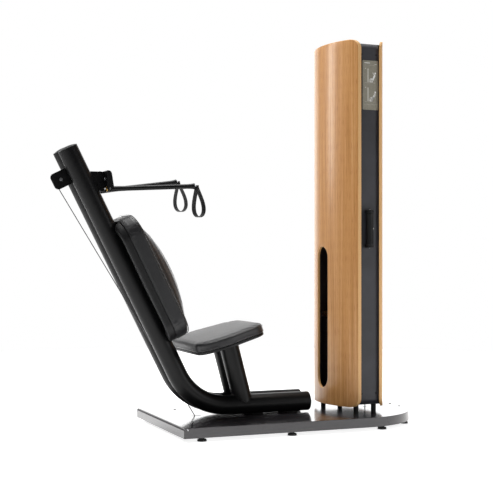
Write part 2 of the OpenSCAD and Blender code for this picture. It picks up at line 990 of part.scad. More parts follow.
module strap(side) {
    outer = [for (t = [12:8:348]) [loop_x(t, loop_w), loop_z(t, loop_h)]];
    inner = [for (t = [332:-8:28]) [loop_x(t, loop_w - 5), loop_z(t, loop_h - 5) - 2.5 ]];
    color("#18181a") placed()
        difference() {
            translate([pivot_x, side * arm_y, arm_z])
                translate((arm_l + loop_lead) * arm_way(side))
                    rotate([0, -loop_lean, side < 0 ? near_loop_turn : far_loop_turn]) {
                        upright(-webbing_w / 2, webbing_w / 2)
                            difference() {
                                polygon(outer);
                                polygon(inner);
                            }
                        translate([-3, -webbing_w / 2, -16])
                            cube([6, webbing_w, 21]);
                    }
            at_cable_end(side)
                cylinder(h = 2 * loop_lead, r = link_r + bore_gap, $fn = 24);
        }
}

// Unit vector along an arm
function arm_way(side) = let (p = side < 0 ? near_pitch : far_pitch)
    [cos(p) * cos(arm_splay), side * cos(p) * sin(arm_splay), sin(p)];

module strap_near() {
    strap(-1);
}

module strap_far() {
    strap(1);
}

// Cheeks under the deck that carry the sheaves at both ends of the base run
module base_sheave_brackets() {
    color(black) placed()
        for (x = [base_x, foot_x], side = [-1, 1])
            difference() {
                translate([x - 16, side > 0 ? cheek_in : -cheek_out, low_z - 12])
                    cube([32, cheek_t, 12 - sheet_t - low_z]);
                across(x, low_z, axle_r + bore_gap, -20, 20);
            }
}

module sheave_pins() {
    color(steel) placed()
        for (at = [[base_x, low_z], [foot_x, low_z], [top_x, top_z]])
            across(at.x, at.y, axle_r, -cheek_out, cheek_out);
}

module base_sheaves() {
    color(steel) placed()
        sheave_pair(base_x, low_z, foot_r);
}

module tower_foot_sheaves() {
    color(steel) placed()
        sheave_pair(foot_x, low_z, foot_r);
}

module tower_top_sheaves() {
    color(steel) placed()
        sheave_pair(top_x, top_z, top_r);
}

module top_sheave_bracket() {
    high = body_high - body_wall;
    color(black) placed()
        for (side = [-1, 1])
            difference() {
                translate([top_x - 20, side > 0 ? cheek_in : -cheek_out, top_z - 20])
                    cube([40, cheek_t, high - top_z + 20]);
                across(top_x, top_z, axle_r + bore_gap, -20, 20);
            }
}

// Folded sheet body between the wooden shells, open to the front and back
module tower_body() {
    tall = body_high - body_low;
    color(panel_black) placed()
        translate([0, 0, body_low + tall / 2])
            crosswise(tower_x - body_half_x, tower_x + body_half_x)
                difference() {
                    soft_rect(2 * body_half_y, tall, body_corner);
                    soft_rect(2 * (body_half_y - body_wall), tall - 2 * body_wall, body_corner - body_wall);
                }
}

// One wooden shell; the front one turns into the rear one by mirroring about the tower's middle
module shell() {
    difference() {
        intersection() {
            translate([front_x + shell_r, 0, shell_z])
                linear_extrude(shell_h)
                    difference() {
                        circle(shell_r, $fn = 240);
                        circle(shell_r - shell_t, $fn = 240);
                    }
            translate([0, 0, shell_z + shell_h / 2])
                crosswise(front_x - 5, tower_x)
                    soft_rect(shell_w, shell_h, shell_corner);
        }
        children();
    }
}

module front_shell() {
    color(wood) placed()
        shell()
            translate([0, 0, (slot_low + slot_high) / 2])
                crosswise(front_x - 5, front_x + 60)
                    soft_rect(slot_w, slot_high - slot_low, slot_w / 2 - 0.01);
}

module rear_shell() {
    color(wood) placed()
        translate([2 * tower_x, 0, 0])
            mirror([1, 0, 0])
                shell();
}

// Upright rails that join the shells to the folded body
module shell_rails() {
    color(panel_black) placed()
        for (end = [0, 1])
            translate([2 * tower_x * end, 0, 0])
                mirror([end, 0, 0])
                    for (side = [-1, 1])
                        intersection() {
                            translate([front_x, side > 0 ? rail_y : -body_half_y + body_wall, rail_z])
                                cube([tower_x - front_x - 40, body_half_y - body_wall - rail_y, rail_h]);
                            translate([front_x + shell_r, 0, 0])
                                cylinder(h = 2000, r = shell_r - shell_t, $fn = 240);
                        }
}

// Lens-shaped sheets that close the shells above and below the folded body
module tower_end_covers() {
    r = shell_r - shell_t - 0.2;
    color(panel_black) placed()
        for (z = [body_low - cover_t, body_high])
            translate([0, 0, z])
                linear_extrude(cover_t)
                    difference() {
                        intersection() {
                            translate([front_x + shell_r, 0])
                                circle(r, $fn = 240);
                            translate([2 * tower_x - front_x - shell_r, 0])
                                circle(r, $fn = 240);
                            translate([tower_x - 200, -body_half_y + body_corner])
                                square([400, 2 * (body_half_y - body_corner)]);
                        }
                        if (z < body_high)
                            translate([up_x, 0])
                                square([14, 14], center = true);
                    }
}

module tower_feet() {
    color(black) placed()
        for (x = [-1, 1], side = [-1, 1])
            translate([tower_x + x * tower_foot_at.x, side * tower_foot_at.y, 0])
                cylinder(h = body_low - cover_t, r = tower_foot_r);
}

module guide_rods() {
    color(steel) placed()
        for (side = [-1, 1]) {
            translate([tower_x, side * rod_y, body_low + body_wall])
                cylinder(h = body_high - body_low - 2 * body_wall, r = rod_r);
            translate([tower_x, side * rod_y, body_low + body_wall])
                cylinder(h = stack_low - body_low - body_wall, r = rod_stop_r);
        }
}

module weight_plate(z) {
    translate([0, 0, z])
        difference() {
            translate([tower_x - plate_x / 2, -plate_y / 2, 0])
                cube([plate_x, plate_y, plate_pitch - plate_gap]);
            translate([stem_x, 0, -1])
                cylinder(h = plate_pitch + 2, r = stem_r + 0.6);
            for (side = [-1, 1])
                translate([tower_x, side * rod_y, -1])
                    cylinder(h = plate_pitch + 2, r = rod_r + 0.6);
        }
}

module resting_plates() {
    color(black) placed()
        for (i = [0:resting_count - 1])
            weight_plate(stack_low + i * plate_pitch);
}

module lifted_plates() {
    color(black) placed()
        for (i = [0:lifted_count - 1])
            weight_plate(lifted_z + i * plate_pitch);
}

// Top plate of the stack with its hollow stem, which the cables hang into
module stack_carriage() {
    color(steel) placed()
        difference() {
            union() {
                translate([tower_x - plate_x / 2, -plate_y / 2, carriage_z])
                    cube([plate_x, plate_y, carriage_t]);
                translate([stem_x, 0, stack_low + 4])
                    cylinder(h = carriage_z + carriage_t - stack_low, r = stem_r);
            }
            translate([stem_x, 0, stack_low])
                cylinder(h = 1000, r = stem_bore);
            for (side = [-1, 1])
                translate([tower_x, side * rod_y, carriage_z - 1])
                    cylinder(h = carriage_t + 2, r = rod_r + 0.08);
        }
}

// Instruction plate on the near side panel
module sign_plate() {
    color("#7f7b6f") placed()
        translate([sign_at.x, 0, sign_at.y])
            upright(-body_half_y - sign_t, -body_half_y)
                soft_rect(sign_size.x, sign_size.y, sign_size.z);
}

// Upper and lower lugs on the near side panel that hold the weight selector's drum
module selector_lugs() {
    color(black) placed()
        difference() {
            for (z = [drum_low - lug_t, drum_high])
                translate([drum_x, 0, z]) {
                    translate([-lug_w / 2, drum_y, 0])
                        cube([lug_w, -body_half_y - drum_y, lug_t]);
                    translate([0, drum_y, 0])
                        cylinder(h = lug_t, r = lug_w / 2);
                }
            translate([drum_x, drum_y, drum_low - 50])
                cylinder(h = 400, r = axle_r + bore_gap);
        }
}

module selector_drum() {
    bore = axle_r + bore_gap;
    tall = drum_high - drum_low - 1;
    color(panel_black) placed()
        translate([drum_x, drum_y, drum_low + 0.5])
            rotate_extrude()
                polygon([[bore, 0], [drum_r - 1, 0], [drum_r, 1], [drum_r, tall - 1], [drum_r - 1, tall],
                    [bore, tall]]);
}

module selector_pins() {
    color(steel) placed()
        for (z = [drum_low - lug_t - 3, drum_high - 25])
            translate([drum_x, drum_y, z])
                cylinder(h = lug_t + 28, r = axle_r);
}

base_deck();
base_rim();
base_crossbars();
levelling_feet();
small_screws();
frame_tube_near();
frame_tube_far();
tube_end_caps();
frame_saddles();
seat_post_near();
seat_post_far();
seat_mount_plate();
seat_screws();
seat_board();
seat_pad();
back_shell();
back_pad();
rear_bracket();
rear_axle_bolt();
rear_sheaves();
crosshead_bracket();
crosshead_shell();
turn_sheave_pins();
turn_sheave_near();
turn_sheave_far();
drop_sheave_bolts();
drop_sheave_near();
drop_sheave_far();
arm_pivot_pins();
arm_bushes();
arm_tube_near();
arm_tube_far();
arm_ferrule_near();
arm_ferrule_far();
cable_near();
cable_far();
pull_cable_near();
pull_cable_far();
strap_near();
strap_far();
base_sheave_brackets();
sheave_pins();
base_sheaves();
tower_foot_sheaves();
tower_body();
shell_rails();
front_shell();
rear_shell();
tower_feet();
guide_rods();
resting_plates();
lifted_plates();
stack_carriage();
top_sheave_bracket();
tower_top_sheaves();
sign_plate();
selector_lugs();
selector_drum();
selector_pins();
tower_end_covers();
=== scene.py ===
# %% [markdown]
# # A seated pulldown machine with a wooden weight tower
# The machine is a reclined bench on two fat black tubes, and a weight stack hidden between two curved
# wooden shells, both on one low black deck. The engineering model gives every piece its place and size, so
# this notebook only has to give each one its surface: swept tubes, sewn cushions, woven loops and veneer.

import math

import bmesh
import bpy
import numpy as np
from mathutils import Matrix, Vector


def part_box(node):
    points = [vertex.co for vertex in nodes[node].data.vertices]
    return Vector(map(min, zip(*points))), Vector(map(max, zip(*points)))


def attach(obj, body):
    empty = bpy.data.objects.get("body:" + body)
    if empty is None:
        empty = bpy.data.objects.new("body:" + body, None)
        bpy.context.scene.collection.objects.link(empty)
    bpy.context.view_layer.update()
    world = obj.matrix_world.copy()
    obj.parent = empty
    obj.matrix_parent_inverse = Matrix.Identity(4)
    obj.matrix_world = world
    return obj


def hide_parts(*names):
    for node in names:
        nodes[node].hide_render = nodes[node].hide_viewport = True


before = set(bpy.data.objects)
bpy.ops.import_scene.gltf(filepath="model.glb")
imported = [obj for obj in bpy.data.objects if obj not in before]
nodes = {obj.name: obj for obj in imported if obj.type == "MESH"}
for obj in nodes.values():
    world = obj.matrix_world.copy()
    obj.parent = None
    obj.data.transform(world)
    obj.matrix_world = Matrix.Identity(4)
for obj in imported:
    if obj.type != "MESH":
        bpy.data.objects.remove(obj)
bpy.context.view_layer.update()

# %% [markdown]
# ## Places on the machine
# The real machine is laid out from its deck, so lengths here are millimetres from the deck's straight end
# and up from its top face. The post and the seat each lean back, and a tilted frame for each of them keeps
# their shapes simple: a point is given along, across and up in that frame.

# %% Frames to place things in
MM = 0.001
deck_low, deck_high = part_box("base_deck")
POST_LEAN = 26.6
POST_FOOT = 158
POST_LENGTH = 1393
TUBE_RADIUS = 48.5
TUBE_AXIS_Y = 53.5
TUBE_AXIS_Z = 54.5
SEAT_LEAN = 15
SEAT_POST_FOOT = 427
SEAT_HEIGHT = 325.5
SIDES = ((-1, "near"), (1, "far"))


def deck(x, y, z):
    """Points in metres for millimetres along the deck, across it and above its top."""
    x, y, z = np.broadcast_arrays(x, y, z)
    return np.stack([deck_low[0] + x * MM, y * MM, deck_high[2] + z * MM], axis=-1)


def leaning(foot, lean, along, y, up):
    """A frame whose foot is on the tube's axis: along is turned up by the lean, and up is turned back."""
    c, s = math.cos(math.radians(lean)), math.sin(math.radians(lean))
    return deck(foot + along * c - up * s, y, TUBE_AXIS_Z + along * s + up * c)


def post(along, y, up):
    """Millimetres in front of the post's axis, across, and up the post."""
    return leaning(POST_FOOT, POST_LEAN, along, y, up)


def seat(along, y, up):
    """Millimetres forward on the seat, across, and above the underside of its board."""
    return leaning(SEAT_POST_FOOT, SEAT_LEAN, along, y, SEAT_HEIGHT + up)


print("post top", post(0, 0, POST_LENGTH).round(3), "seat", seat(0, 0, 0).round(3))

# %% [markdown]
# ## The camera
# A long lens from well back keeps the tower's sides nearly upright. The camera stands level, and a small
# shift moves the view up instead of tilting it.

# %% Camera
CAMERA_AT = (-2.0396, -5.214, 0.847)
VIEW_WAY = (0.3730, 0.9278)
camera = bpy.data.objects.new("camera", bpy.data.cameras.new("camera"))
bpy.context.scene.collection.objects.link(camera)
bpy.context.scene.camera = camera
camera.location = CAMERA_AT
camera.rotation_euler = (math.radians(90), 0, -math.atan2(*VIEW_WAY))
camera.data.lens = 80.98
camera.data.sensor_width = 36
camera.data.shift_y = 0.02535
camera.data.clip_end = 60
print("camera", tuple(round(v, 3) for v in camera.location))

# %% [markdown]
# ## Light
# Glossy black needs something bright to mirror. The surroundings are dim in front and bright low down at the
# back, so the deck's enamel mirrors white at a shallow angle while the tubes stay black. Soft boxes add the
# long highlights that show the tubes are round. What the camera itself sees behind the machine is plain white.

# %% World and lamps


def add(tree, kind, **values):
    """Adds a node. A value that is a socket is linked; any other is an input's value or a setting. Two
    underscores and a number after a name pick an input by its place, and one underscore is a space."""
    made = tree.nodes.new("ShaderNode" + kind)
    for key, value in values.items():
        name, _, place = key.partition("__")
        if place:
            socket = made.inputs[int(place)]
        elif hasattr(made, name) and name not in ("inputs", "outputs"):
            setattr(made, name, value)
            continue
        else:
            socket = made.inputs[name.replace("_", " ")]
        if isinstance(value, bpy.types.NodeSocket):
            tree.links.new(value, socket)
        else:
            socket.default_value = value
    return made


BEHIND = (*VIEW_WAY, -0.05)
world = bpy.data.worlds.new("studio")
bpy.context.scene.world = world
world.use_nodes = True
sky = world.node_tree
sky.nodes.clear()
way = add(sky, "TexCoord").outputs["Generated"]
ahead = add(sky, "VectorMath", operation="DOT_PRODUCT", Vector__0=way, Vector__1=BEHIND)
glow = add(sky, "MapRange", interpolation_type="SMOOTHSTEP", Value=ahead.outputs["Value"],
           From_Min=0.72, From_Max=0.98, To_Min=0.07, To_Max=2.3)
seen = add(sky, "LightPath").outputs["Is Camera Ray"]
strength = add(sky, "Mix", data_type="FLOAT", Factor__0=seen, A__2=glow.outputs["Result"], B__3=1.0)
backdrop = add(sky, "Background", Color=(1, 1, 1, 1), Strength=strength.outputs[0])
add(sky, "OutputWorld", Surface=backdrop.outputs[0])

LAMPS = {
    "key": ((-3.2, -3.0, 3.6), (0.1, 0, 0.9), 2.6, 1.4, 14),
    "side": ((3.2, -3.4, 1.3), (0.3, 0, 0.8), 1.2, 2.4, 34),
    "top": ((0.0, 0.4, 4.4), (0.0, 0, 0.6), 3.0, 3.0, 185),
    "rim": ((-2.6, 2.4, 2.6), (-0.1, 0, 1.0), 0.8, 2.4, 60),
}


def aimed(place, target):
    """Turn that points a lamp's own -Z from its place to a target, with its own Y kept upright."""
    back = np.subtract(place, target)
    return math.atan2(math.hypot(back[0], back[1]), back[2]), 0, math.atan2(back[1], back[0]) + math.pi / 2


for name, (place, target, wide, tall, power) in LAMPS.items():
    lamp = bpy.data.objects.new("lamp_" + name, bpy.data.lights.new("lamp_" + name, "AREA"))
    bpy.context.scene.collection.objects.link(lamp)
    lamp.data.shape = "RECTANGLE"
    lamp.data.size, lamp.data.size_y, lamp.data.energy = wide, tall, power
    lamp.location = place
    lamp.rotation_euler = aimed(place, target)
bpy.context.scene.view_settings.view_transform = "Standard"
print("lamps", len(LAMPS))

# %% [markdown]
# ## Making surfaces
# Most new pieces are tubes, bands or turned parts. All of them are a grid of points: each ring is one
# section, and the rings follow one another along the piece. One function skins such a grid with quads, and
# another one turns skins into an object that rides on its moving body.

# %% Skin a grid and make a piece


def skin(grid, along=False, ends=True, marks=None, size=None):
    """Quads over grid[ring, place]. Each ring is joined to itself, and along joins the last ring to the
    first; ends closes the two end rings. marks gives a finish number to each gap between rings, and size is
    the distance round and along in metres that the UV map spans."""
    rings, count = grid.shape[:2]
    i = np.arange(rings if along else rings - 1)[:, None, None]
    j = np.arange(count)[None, :, None]
    turn_i, turn_j = np.array([0, 0, 1, 1]), np.array([0, 1, 1, 0])
    quads = (((i + turn_i) % rings) * count + (j + turn_j) % count).reshape(-1, 4)
    faces = quads.tolist()
    wide, long = size or (1.0, 1.0)
    u, v = np.broadcast_arrays((j + turn_j) / count * wide, (i + turn_i) / (rings - 1) * long)
    corners = np.stack([u, v], axis=-1).reshape(-1, 2)
    numbers = np.repeat(np.zeros(len(i), int) if marks is None else np.asarray(marks), j.size).tolist()
    if ends and not along:
        faces += [list(range(count)), list(range((rings - 1) * count, rings * count))]
        corners = np.concatenate([corners, np.zeros((2 * count, 2))])
        numbers += [numbers[0], numbers[-1]]
    return grid.reshape(-1, 3), faces, numbers, corners


EDGE_STEPS, EDGE_ANGLE = 2, 35
finishes = {}
made_pieces = []


def dress(obj, finish, body, stands_for):
    """Gives a finished object its materials, its body and the nodes it stands for."""
    for one in finish if isinstance(finish, tuple) else (finish,):
        obj.data.materials.append(finishes[one])
    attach(obj, body)
    if stands_for:
        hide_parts(*stands_for)
    made_pieces.append(obj.name)
    return obj


def rounded_edges(obj, width):
    """A Bevel modifier that rounds every edge sharper than EDGE_ANGLE, width millimetres wide."""
    edge = obj.modifiers.new("edges", "BEVEL")
    edge.width = width * MM
    edge.segments = EDGE_STEPS
    edge.limit_method = "ANGLE"
    edge.angle_limit = math.radians(EDGE_ANGLE)
    edge.harden_normals = True


def piece(name, skins, finish, body="root", stands_for=(), sharp=40, bevel=0, smooth=0, notes=None):
    """One object from several skins. sharp is the angle in degrees past which an edge is drawn sharp, and
    notes are values or vectors stored at each point for a material to read."""
    points = np.concatenate([s[0] for s in skins])
    starts = np.cumsum([0] + [len(s[0]) for s in skins[:-1]])
    faces = [[v + int(start) for v in face] for s, start in zip(skins, starts) for face in s[1]]
    mesh = bpy.data.meshes.new(name)
    mesh.from_pydata(points, [], faces)
    mesh.polygons.foreach_set("material_index", np.concatenate([s[2] for s in skins]).astype(np.int32))
    mesh.uv_layers.new(name="along").data.foreach_set("uv", np.concatenate([s[3] for s in skins]).ravel())
    for key, value in (notes or {}).items():
        kind = "FLOAT" if value.ndim == 1 else "FLOAT_VECTOR"
        mesh.attributes.new(key, kind, "POINT").data.foreach_set(
            "value" if kind == "FLOAT" else "vector", value.astype(np.float32).ravel())
    form = bmesh.new()
    form.from_mesh(mesh)
    bmesh.ops.remove_doubles(form, verts=form.verts, dist=1e-6)
    bmesh.ops.dissolve_degenerate(form, edges=form.edges, dist=1e-7)
    bmesh.ops.recalc_face_normals(form, faces=form.faces)
    form.to_mesh(mesh)
    form.free()
    mesh.shade_smooth()
    mesh.set_sharp_from_angle(angle=math.radians(sharp))
    obj = bpy.data.objects.new(name, mesh)
    bpy.context.scene.collection.objects.link(obj)
    if bevel:
        rounded_edges(obj, bevel)
    if smooth:
        subdivide(obj, smooth)
    return dress(obj, finish, body, stands_for)


def subdivide(obj, levels):
    """A Subdivision Surface modifier with the same number of levels on screen and in the render."""
    rounder = obj.modifiers.new("rounder", "SUBSURF")
    rounder.levels = rounder.render_levels = levels


# %% [markdown]
# Three shapes cover nearly everything: a section carried along a path, a profile turned about an axis, and
# an outline with round corners. A path is first cut into even steps, so that patterns keep their scale.

# %% Paths, sections and turned parts


def even(path, count, closed=False):
    """The same path as count points at equal distances along it."""
    points = np.concatenate([path, path[:1]]) if closed else np.asarray(path, float)
    gone = np.concatenate([[0], np.cumsum(np.linalg.norm(np.diff(points, axis=0), axis=1))])
    wanted = np.linspace(0, gone[-1], count + 1)[:-1] if closed else np.linspace(0, gone[-1], count)
    return np.stack([np.interp(wanted, gone, axis) for axis in points.T], axis=-1)


def length_of(path, closed=False):
    """Total length of a path."""
    points = np.concatenate([path, path[:1]]) if closed else path
    return float(np.linalg.norm(np.diff(points, axis=0), axis=1).sum())


def unit(vectors):
    """Vectors of length one in the same directions."""
    return vectors / np.linalg.norm(vectors, axis=-1, keepdims=True)


def carried(path, section, up, closed=False, scale=None):
    """Section points (side, up) carried along a path. Each ring stands square to the path there: its side
    is the heading crossed with up, and its own up is side crossed with the heading."""
    if closed:
        heading = unit(np.roll(path, -1, axis=0) - np.roll(path, 1, axis=0))
    else:
        heading = unit(np.gradient(path, axis=0))
    side = unit(np.cross(heading, np.broadcast_to(up, heading.shape)))
    over = np.cross(side, heading)
    grown = section[None] * (np.ones(len(path)) if scale is None else scale)[:, None, None]
    return path[:, None] + grown[..., :1] * side[:, None] + grown[..., 1:] * over[:, None]


def ring(radius, count):
    """A circle of points (side, up)."""
    turn = np.linspace(0, 2 * math.pi, count, endpoint=False)
    return radius * np.stack([np.cos(turn), np.sin(turn)], axis=-1)


def turned(profile, place, axis, count):
    """A profile of (radius, distance along the axis) turned about the axis through place; one ring of the
    grid is one point of the profile."""
    profile = np.asarray(profile, float) * MM
    axis = unit(np.asarray(axis, float))
    side = unit(np.cross(axis, (0.0, 0.0, 1.0) if abs(axis[2]) < 0.9 else (1.0, 0.0, 0.0)))
    over = np.cross(axis, side)
    turn = np.linspace(0, 2 * math.pi, count, endpoint=False)
    spoke = np.cos(turn)[:, None] * side + np.sin(turn)[:, None] * over
    return np.asarray(place) + profile[:, :1, None] * spoke[None] + (profile[:, 1:] * axis)[:, None]


def rounded(corners, steps=12):
    """Outline with corners (x, y, radius), each an arc that touches both of its sides."""
    corners = np.asarray(corners, float)
    at = corners[:, :2]
    before, after = unit(np.roll(at, 1, axis=0) - at), unit(np.roll(at, -1, axis=0) - at)
    half = np.arccos(np.sum(before * after, axis=1)) / 2
    middle = at + unit(before + after) * (corners[:, 2] / np.sin(half))[:, None]
    start = at + before * (corners[:, 2] / np.tan(half))[:, None] - middle
    stop = at + after * (corners[:, 2] / np.tan(half))[:, None] - middle
    first = np.arctan2(start[:, 1], start[:, 0])
    sweep = np.arctan2(start[:, 0] * stop[:, 1] - start[:, 1] * stop[:, 0], np.sum(start * stop, axis=1))
    turn = first[:, None] + sweep[:, None] * np.linspace(0, 1, steps)
    arcs = middle[:, None] + corners[:, 2, None, None] * np.stack([np.cos(turn), np.sin(turn)], axis=-1)
    return arcs.reshape(-1, 2)


def box_outline(half_x, half_y, radius, steps):
    """Rounded rectangle centred on the origin."""
    return rounded([[-half_x, -half_y, radius], [half_x, -half_y, radius], [half_x, half_y, radius],
                    [-half_x, half_y, radius]], steps)


print("ring of 6:", ring(1.0, 6).round(2).tolist())

# %% [markdown]
# Many folded or machined parts already have the right shape in the engineering model, but every edge there
# is perfectly sharp. Real edges catch light, so a copy of the part gets its loose triangles joined, its
# flat faces merged, and its edges rounded.

# %% Rounded copies of engineering parts


def eased(node, finish, width, body="root", smooth=0):
    """A copy of a CAD node with joined triangles and rounded edges, which stands for that node."""
    source = nodes[node].data
    points = np.empty(len(source.vertices) * 3, np.float32)
    source.vertices.foreach_get("co", points)
    corners = np.empty(len(source.loops), np.int32)
    source.loops.foreach_get("vertex_index", corners)
    mesh = bpy.data.meshes.new(node + "_eased")
    mesh.from_pydata(points.reshape(-1, 3), [], corners.reshape(-1, 3).tolist())
    form = bmesh.new()
    form.from_mesh(mesh)
    bmesh.ops.remove_doubles(form, verts=form.verts, dist=2e-5)
    bmesh.ops.dissolve_limit(form, angle_limit=math.radians(0.6), verts=form.verts, edges=form.edges)
    form.to_mesh(mesh)
    form.free()
    mesh.shade_smooth()
    mesh.set_sharp_from_angle(angle=math.radians(EDGE_ANGLE))
    obj = bpy.data.objects.new(node + "_eased", mesh)
    bpy.context.scene.collection.objects.link(obj)
    if width:
        rounded_edges(obj, width)
    if smooth:
        subdivide(obj, smooth)
    return dress(obj, finish, body, (node,))


# %% [markdown]
# ## Finishes
# Colours are written as sRGB hex values, and one function turns them to linear light. Patterns are sized in
# millimetres: a texture's scale is the number of its features in a metre, so a 2 mm grain has a scale of 500.

# %% Colour, pattern and material helpers


def linear(colour):
    """Linear RGBA of an sRGB hex colour."""
    parts = np.array([int(colour[i:i + 2], 16) for i in (1, 3, 5)]) / 255
    light = np.where(parts <= 0.04045, parts / 12.92, ((parts + 0.055) / 1.055) ** 2.4)
    return (*light.tolist(), 1.0)


def per_metre(millimetres):
    """Scale of a pattern whose features are that many millimetres apart."""
    return 1000.0 / millimetres


def material(name, roughness, metallic=0.0, **sockets):
    """A material with one Principled shader. Returns its tree, the shader and the object's coordinates."""
    made = bpy.data.materials.new(name)
    made.use_nodes = True
    tree = made.node_tree
    shader = tree.nodes["Principled BSDF"]
    shader.inputs["Roughness"].default_value = roughness
    shader.inputs["Metallic"].default_value = metallic
    shader.inputs["IOR"].default_value = 1.5
    for key, value in sockets.items():
        shader.inputs[key.replace("_", " ")].default_value = value
    finishes[name] = made
    return tree, shader, add(tree, "TexCoord").outputs["Object"]


def noise(tree, where, size, detail):
    """Soft noise of 0 to 1 whose patches are size millimetres across."""
    return add(tree, "TexNoise", Vector=where, Scale=per_metre(size), Detail=detail).outputs["Fac"]


def waves(tree, where, spacing, direction="DIAGONAL", **more):
    """Bands of 0 to 1, spacing millimetres apart. The wave node itself puts 2 pi bands in one unit."""
    wave = add(tree, "TexWave", wave_type="BANDS", bands_direction=direction, Vector=where,
               Scale=per_metre(spacing) / 6.28, **more)
    return wave.outputs["Fac"]


def mixed(tree, share, dark, light, **more):
    """Colour between two, each given as a hex colour or a socket."""
    dark, light = (linear(end) if isinstance(end, str) else end for end in (dark, light))
    return add(tree, "Mix", data_type="RGBA", Factor__0=share, A__6=dark, B__7=light, **more).outputs[2]


def painted(tree, shader, colour):
    """Links a colour to the shader."""
    tree.links.new(colour, shader.inputs["Base Color"])


def uneven(tree, shader, where, middle, spread, size):
    """Roughness that wanders by spread about middle, in patches of a size in millimetres."""
    span = add(tree, "MapRange", Value=noise(tree, where, size, 4.0), To_Min=middle - spread,
               To_Max=middle + spread)
    tree.links.new(span.outputs["Result"], shader.inputs["Roughness"])


def raised(tree, shader, height, depth, strength):
    """Bump of a depth in millimetres from a height of 0 to 1."""
    bump = add(tree, "Bump", Height=height, Distance=depth * MM, Strength=strength)
    tree.links.new(bump.outputs["Normal"], shader.inputs["Normal"])


def coated(name, roughness, light, dark, patch, wander=None, relief=None, **sockets):
    """A material whose colour drifts between two close ones in patches of a size in millimetres. wander is the
    spread of its roughness and the size of those patches; relief is a fine bump's size, detail, depth and
    strength."""
    tree, shader, where = material(name, roughness, **sockets)
    span = add(tree, "MapRange", Value=noise(tree, where, patch, 3.0), From_Min=0.35, From_Max=0.65)
    painted(tree, shader, mixed(tree, span.outputs["Result"], dark, light))
    if wander:
        uneven(tree, shader, where, roughness, *wander)
    if relief:
        size, detail, depth, strength = relief
        raised(tree, shader, noise(tree, where, size, detail), depth, strength)
    return tree, shader, where


# %% [markdown]
# ### Painted steel
# The deck is sheet steel in gloss enamel: a smooth coat that flows a little as it dries, which leaves a faint
# orange peel about 6 mm across. The tubes are powder coated, so their skin is satin with a 1 mm texture. The
# tower's folded sides have a coarser matt charcoal powder.

# %% Enamel and powder coats
coated("gloss_enamel_on_steel", 0.17, "#302e31", "#2a282b", 180, wander=(0.05, 60), relief=(6, 1.0, 0.02, 0.5),
       Coat_Weight=0.35, Coat_Roughness=0.08)
coated("satin_powder_coat", 0.36, "#0d0d0e", "#09090a", 90, wander=(0.04, 40), relief=(1.2, 2.0, 0.03, 0.35),
       Specular_IOR_Level=0.22)
coated("charcoal_powder_coat", 0.52, "#303036", "#28282c", 140, wander=(0.05, 50), relief=(1.6, 3.0, 0.05, 0.4))
print("three coats on steel")

# %% [markdown]
# ### Upholstery, webbing and rubber
# The pads are covered in coated fabric with an embossed leather grain of cells about 2.5 mm wide, which has a
# soft sheen. The hand loops are woven webbing: ribs run across it every 1.6 mm and the yarns between them
# lean left and right in turn, so its pattern follows the band's own UV map. Sewing thread is a shade lighter.

# %% Soft finishes
tree, shader, where = coated("embossed_vinyl", 0.43, "#1c1c1e", "#161618", 70, wander=(0.05, 45),
                             Sheen_Weight=0.3, Sheen_Roughness=0.3)
cells = add(tree, "TexVoronoi", feature="DISTANCE_TO_EDGE", Vector=where, Scale=per_metre(2.5), Randomness=0.9)
crease = add(tree, "MapRange", Value=cells.outputs["Distance"], From_Max=0.16)
raised(tree, shader, crease.outputs["Result"], 0.12, 0.35)

tree, shader, where = material("woven_webbing", 0.74, Sheen_Weight=0.25, Sheen_Roughness=0.4)
along = add(tree, "UVMap", uv_map="along").outputs["UV"]
ribs = waves(tree, along, 1.6, "Y", Distortion=0.4, Detail_Scale=3.0)
yarns = waves(tree, along, 2.2, Distortion=0.3)
weave = add(tree, "Math", operation="MULTIPLY", Value__0=ribs, Value__1=yarns).outputs[0]
painted(tree, shader, mixed(tree, weave, "#0d0d0e", "#242426"))
raised(tree, shader, weave, 0.35, 0.8)

tree, shader, where = material("sewing_thread", 0.6)
painted(tree, shader, mixed(tree, waves(tree, where, 1), "#2b2a29", "#4a4744"))

coated("moulded_rubber", 0.7, "#1a1a1a", "#131313", 30, relief=(2, 3.0, 0.1, 0.4))
coated("satin_moulded_plastic", 0.45, "#131314", "#0e0e0f", 40, wander=(0.04, 25), relief=(0.9, 2.0, 0.03, 0.4),
       Specular_IOR_Level=0.3)
print("vinyl, webbing, thread, rubber and plastic")

# %% [markdown]
# ### Metals and cable
# Bolts and rods are turned steel, which leaves fine marks around them, and the small socket screws are
# blackened. The bushes and ferrules are brass. The weight plates are painted cast iron. The cables are wire
# rope in a clear dark coat, and a diagonal wave every 4 mm stands for its twisted strands.

# %% Metal finishes
coated("turned_steel", 0.28, "#c6c8ca", "#b4b6b9", 12, wander=(0.07, 8), relief=(0.8, 2.0, 0.02, 0.4),
       metallic=1.0)
coated("turned_brass", 0.3, "#c9a052", "#b08a3c", 10, wander=(0.06, 6), metallic=1.0)
coated("blackened_steel", 0.42, "#3a3a3c", "#2e2e30", 6, wander=(0.06, 5), metallic=1.0)
coated("painted_cast_iron", 0.55, "#29292b", "#202022", 25, relief=(2.2, 4.0, 0.25, 0.5))

tree, shader, where = material("coated_wire_rope", 0.4)
strands = waves(tree, where, 4)
painted(tree, shader, mixed(tree, strands, "#1c1c1d", "#3a3a3c"))
raised(tree, shader, strands, 0.2, 0.6)
print("metals and cable")

# %% [markdown]
# ### Veneer and plywood
# The shells are bent plywood with a light straight-grained veneer. Its colour has three scales: bands some
# 30 mm wide where the tree grew fast or slow, growth lines of 9 mm, and pores of 1.4 mm. All of them are
# drawn long in the direction of the grain. The pattern is laid on the unrolled sheet: each point carries its
# distance round the curve, its height and its depth. The cut edge shows the plies, light and dark in turn.

# %% Wood finishes


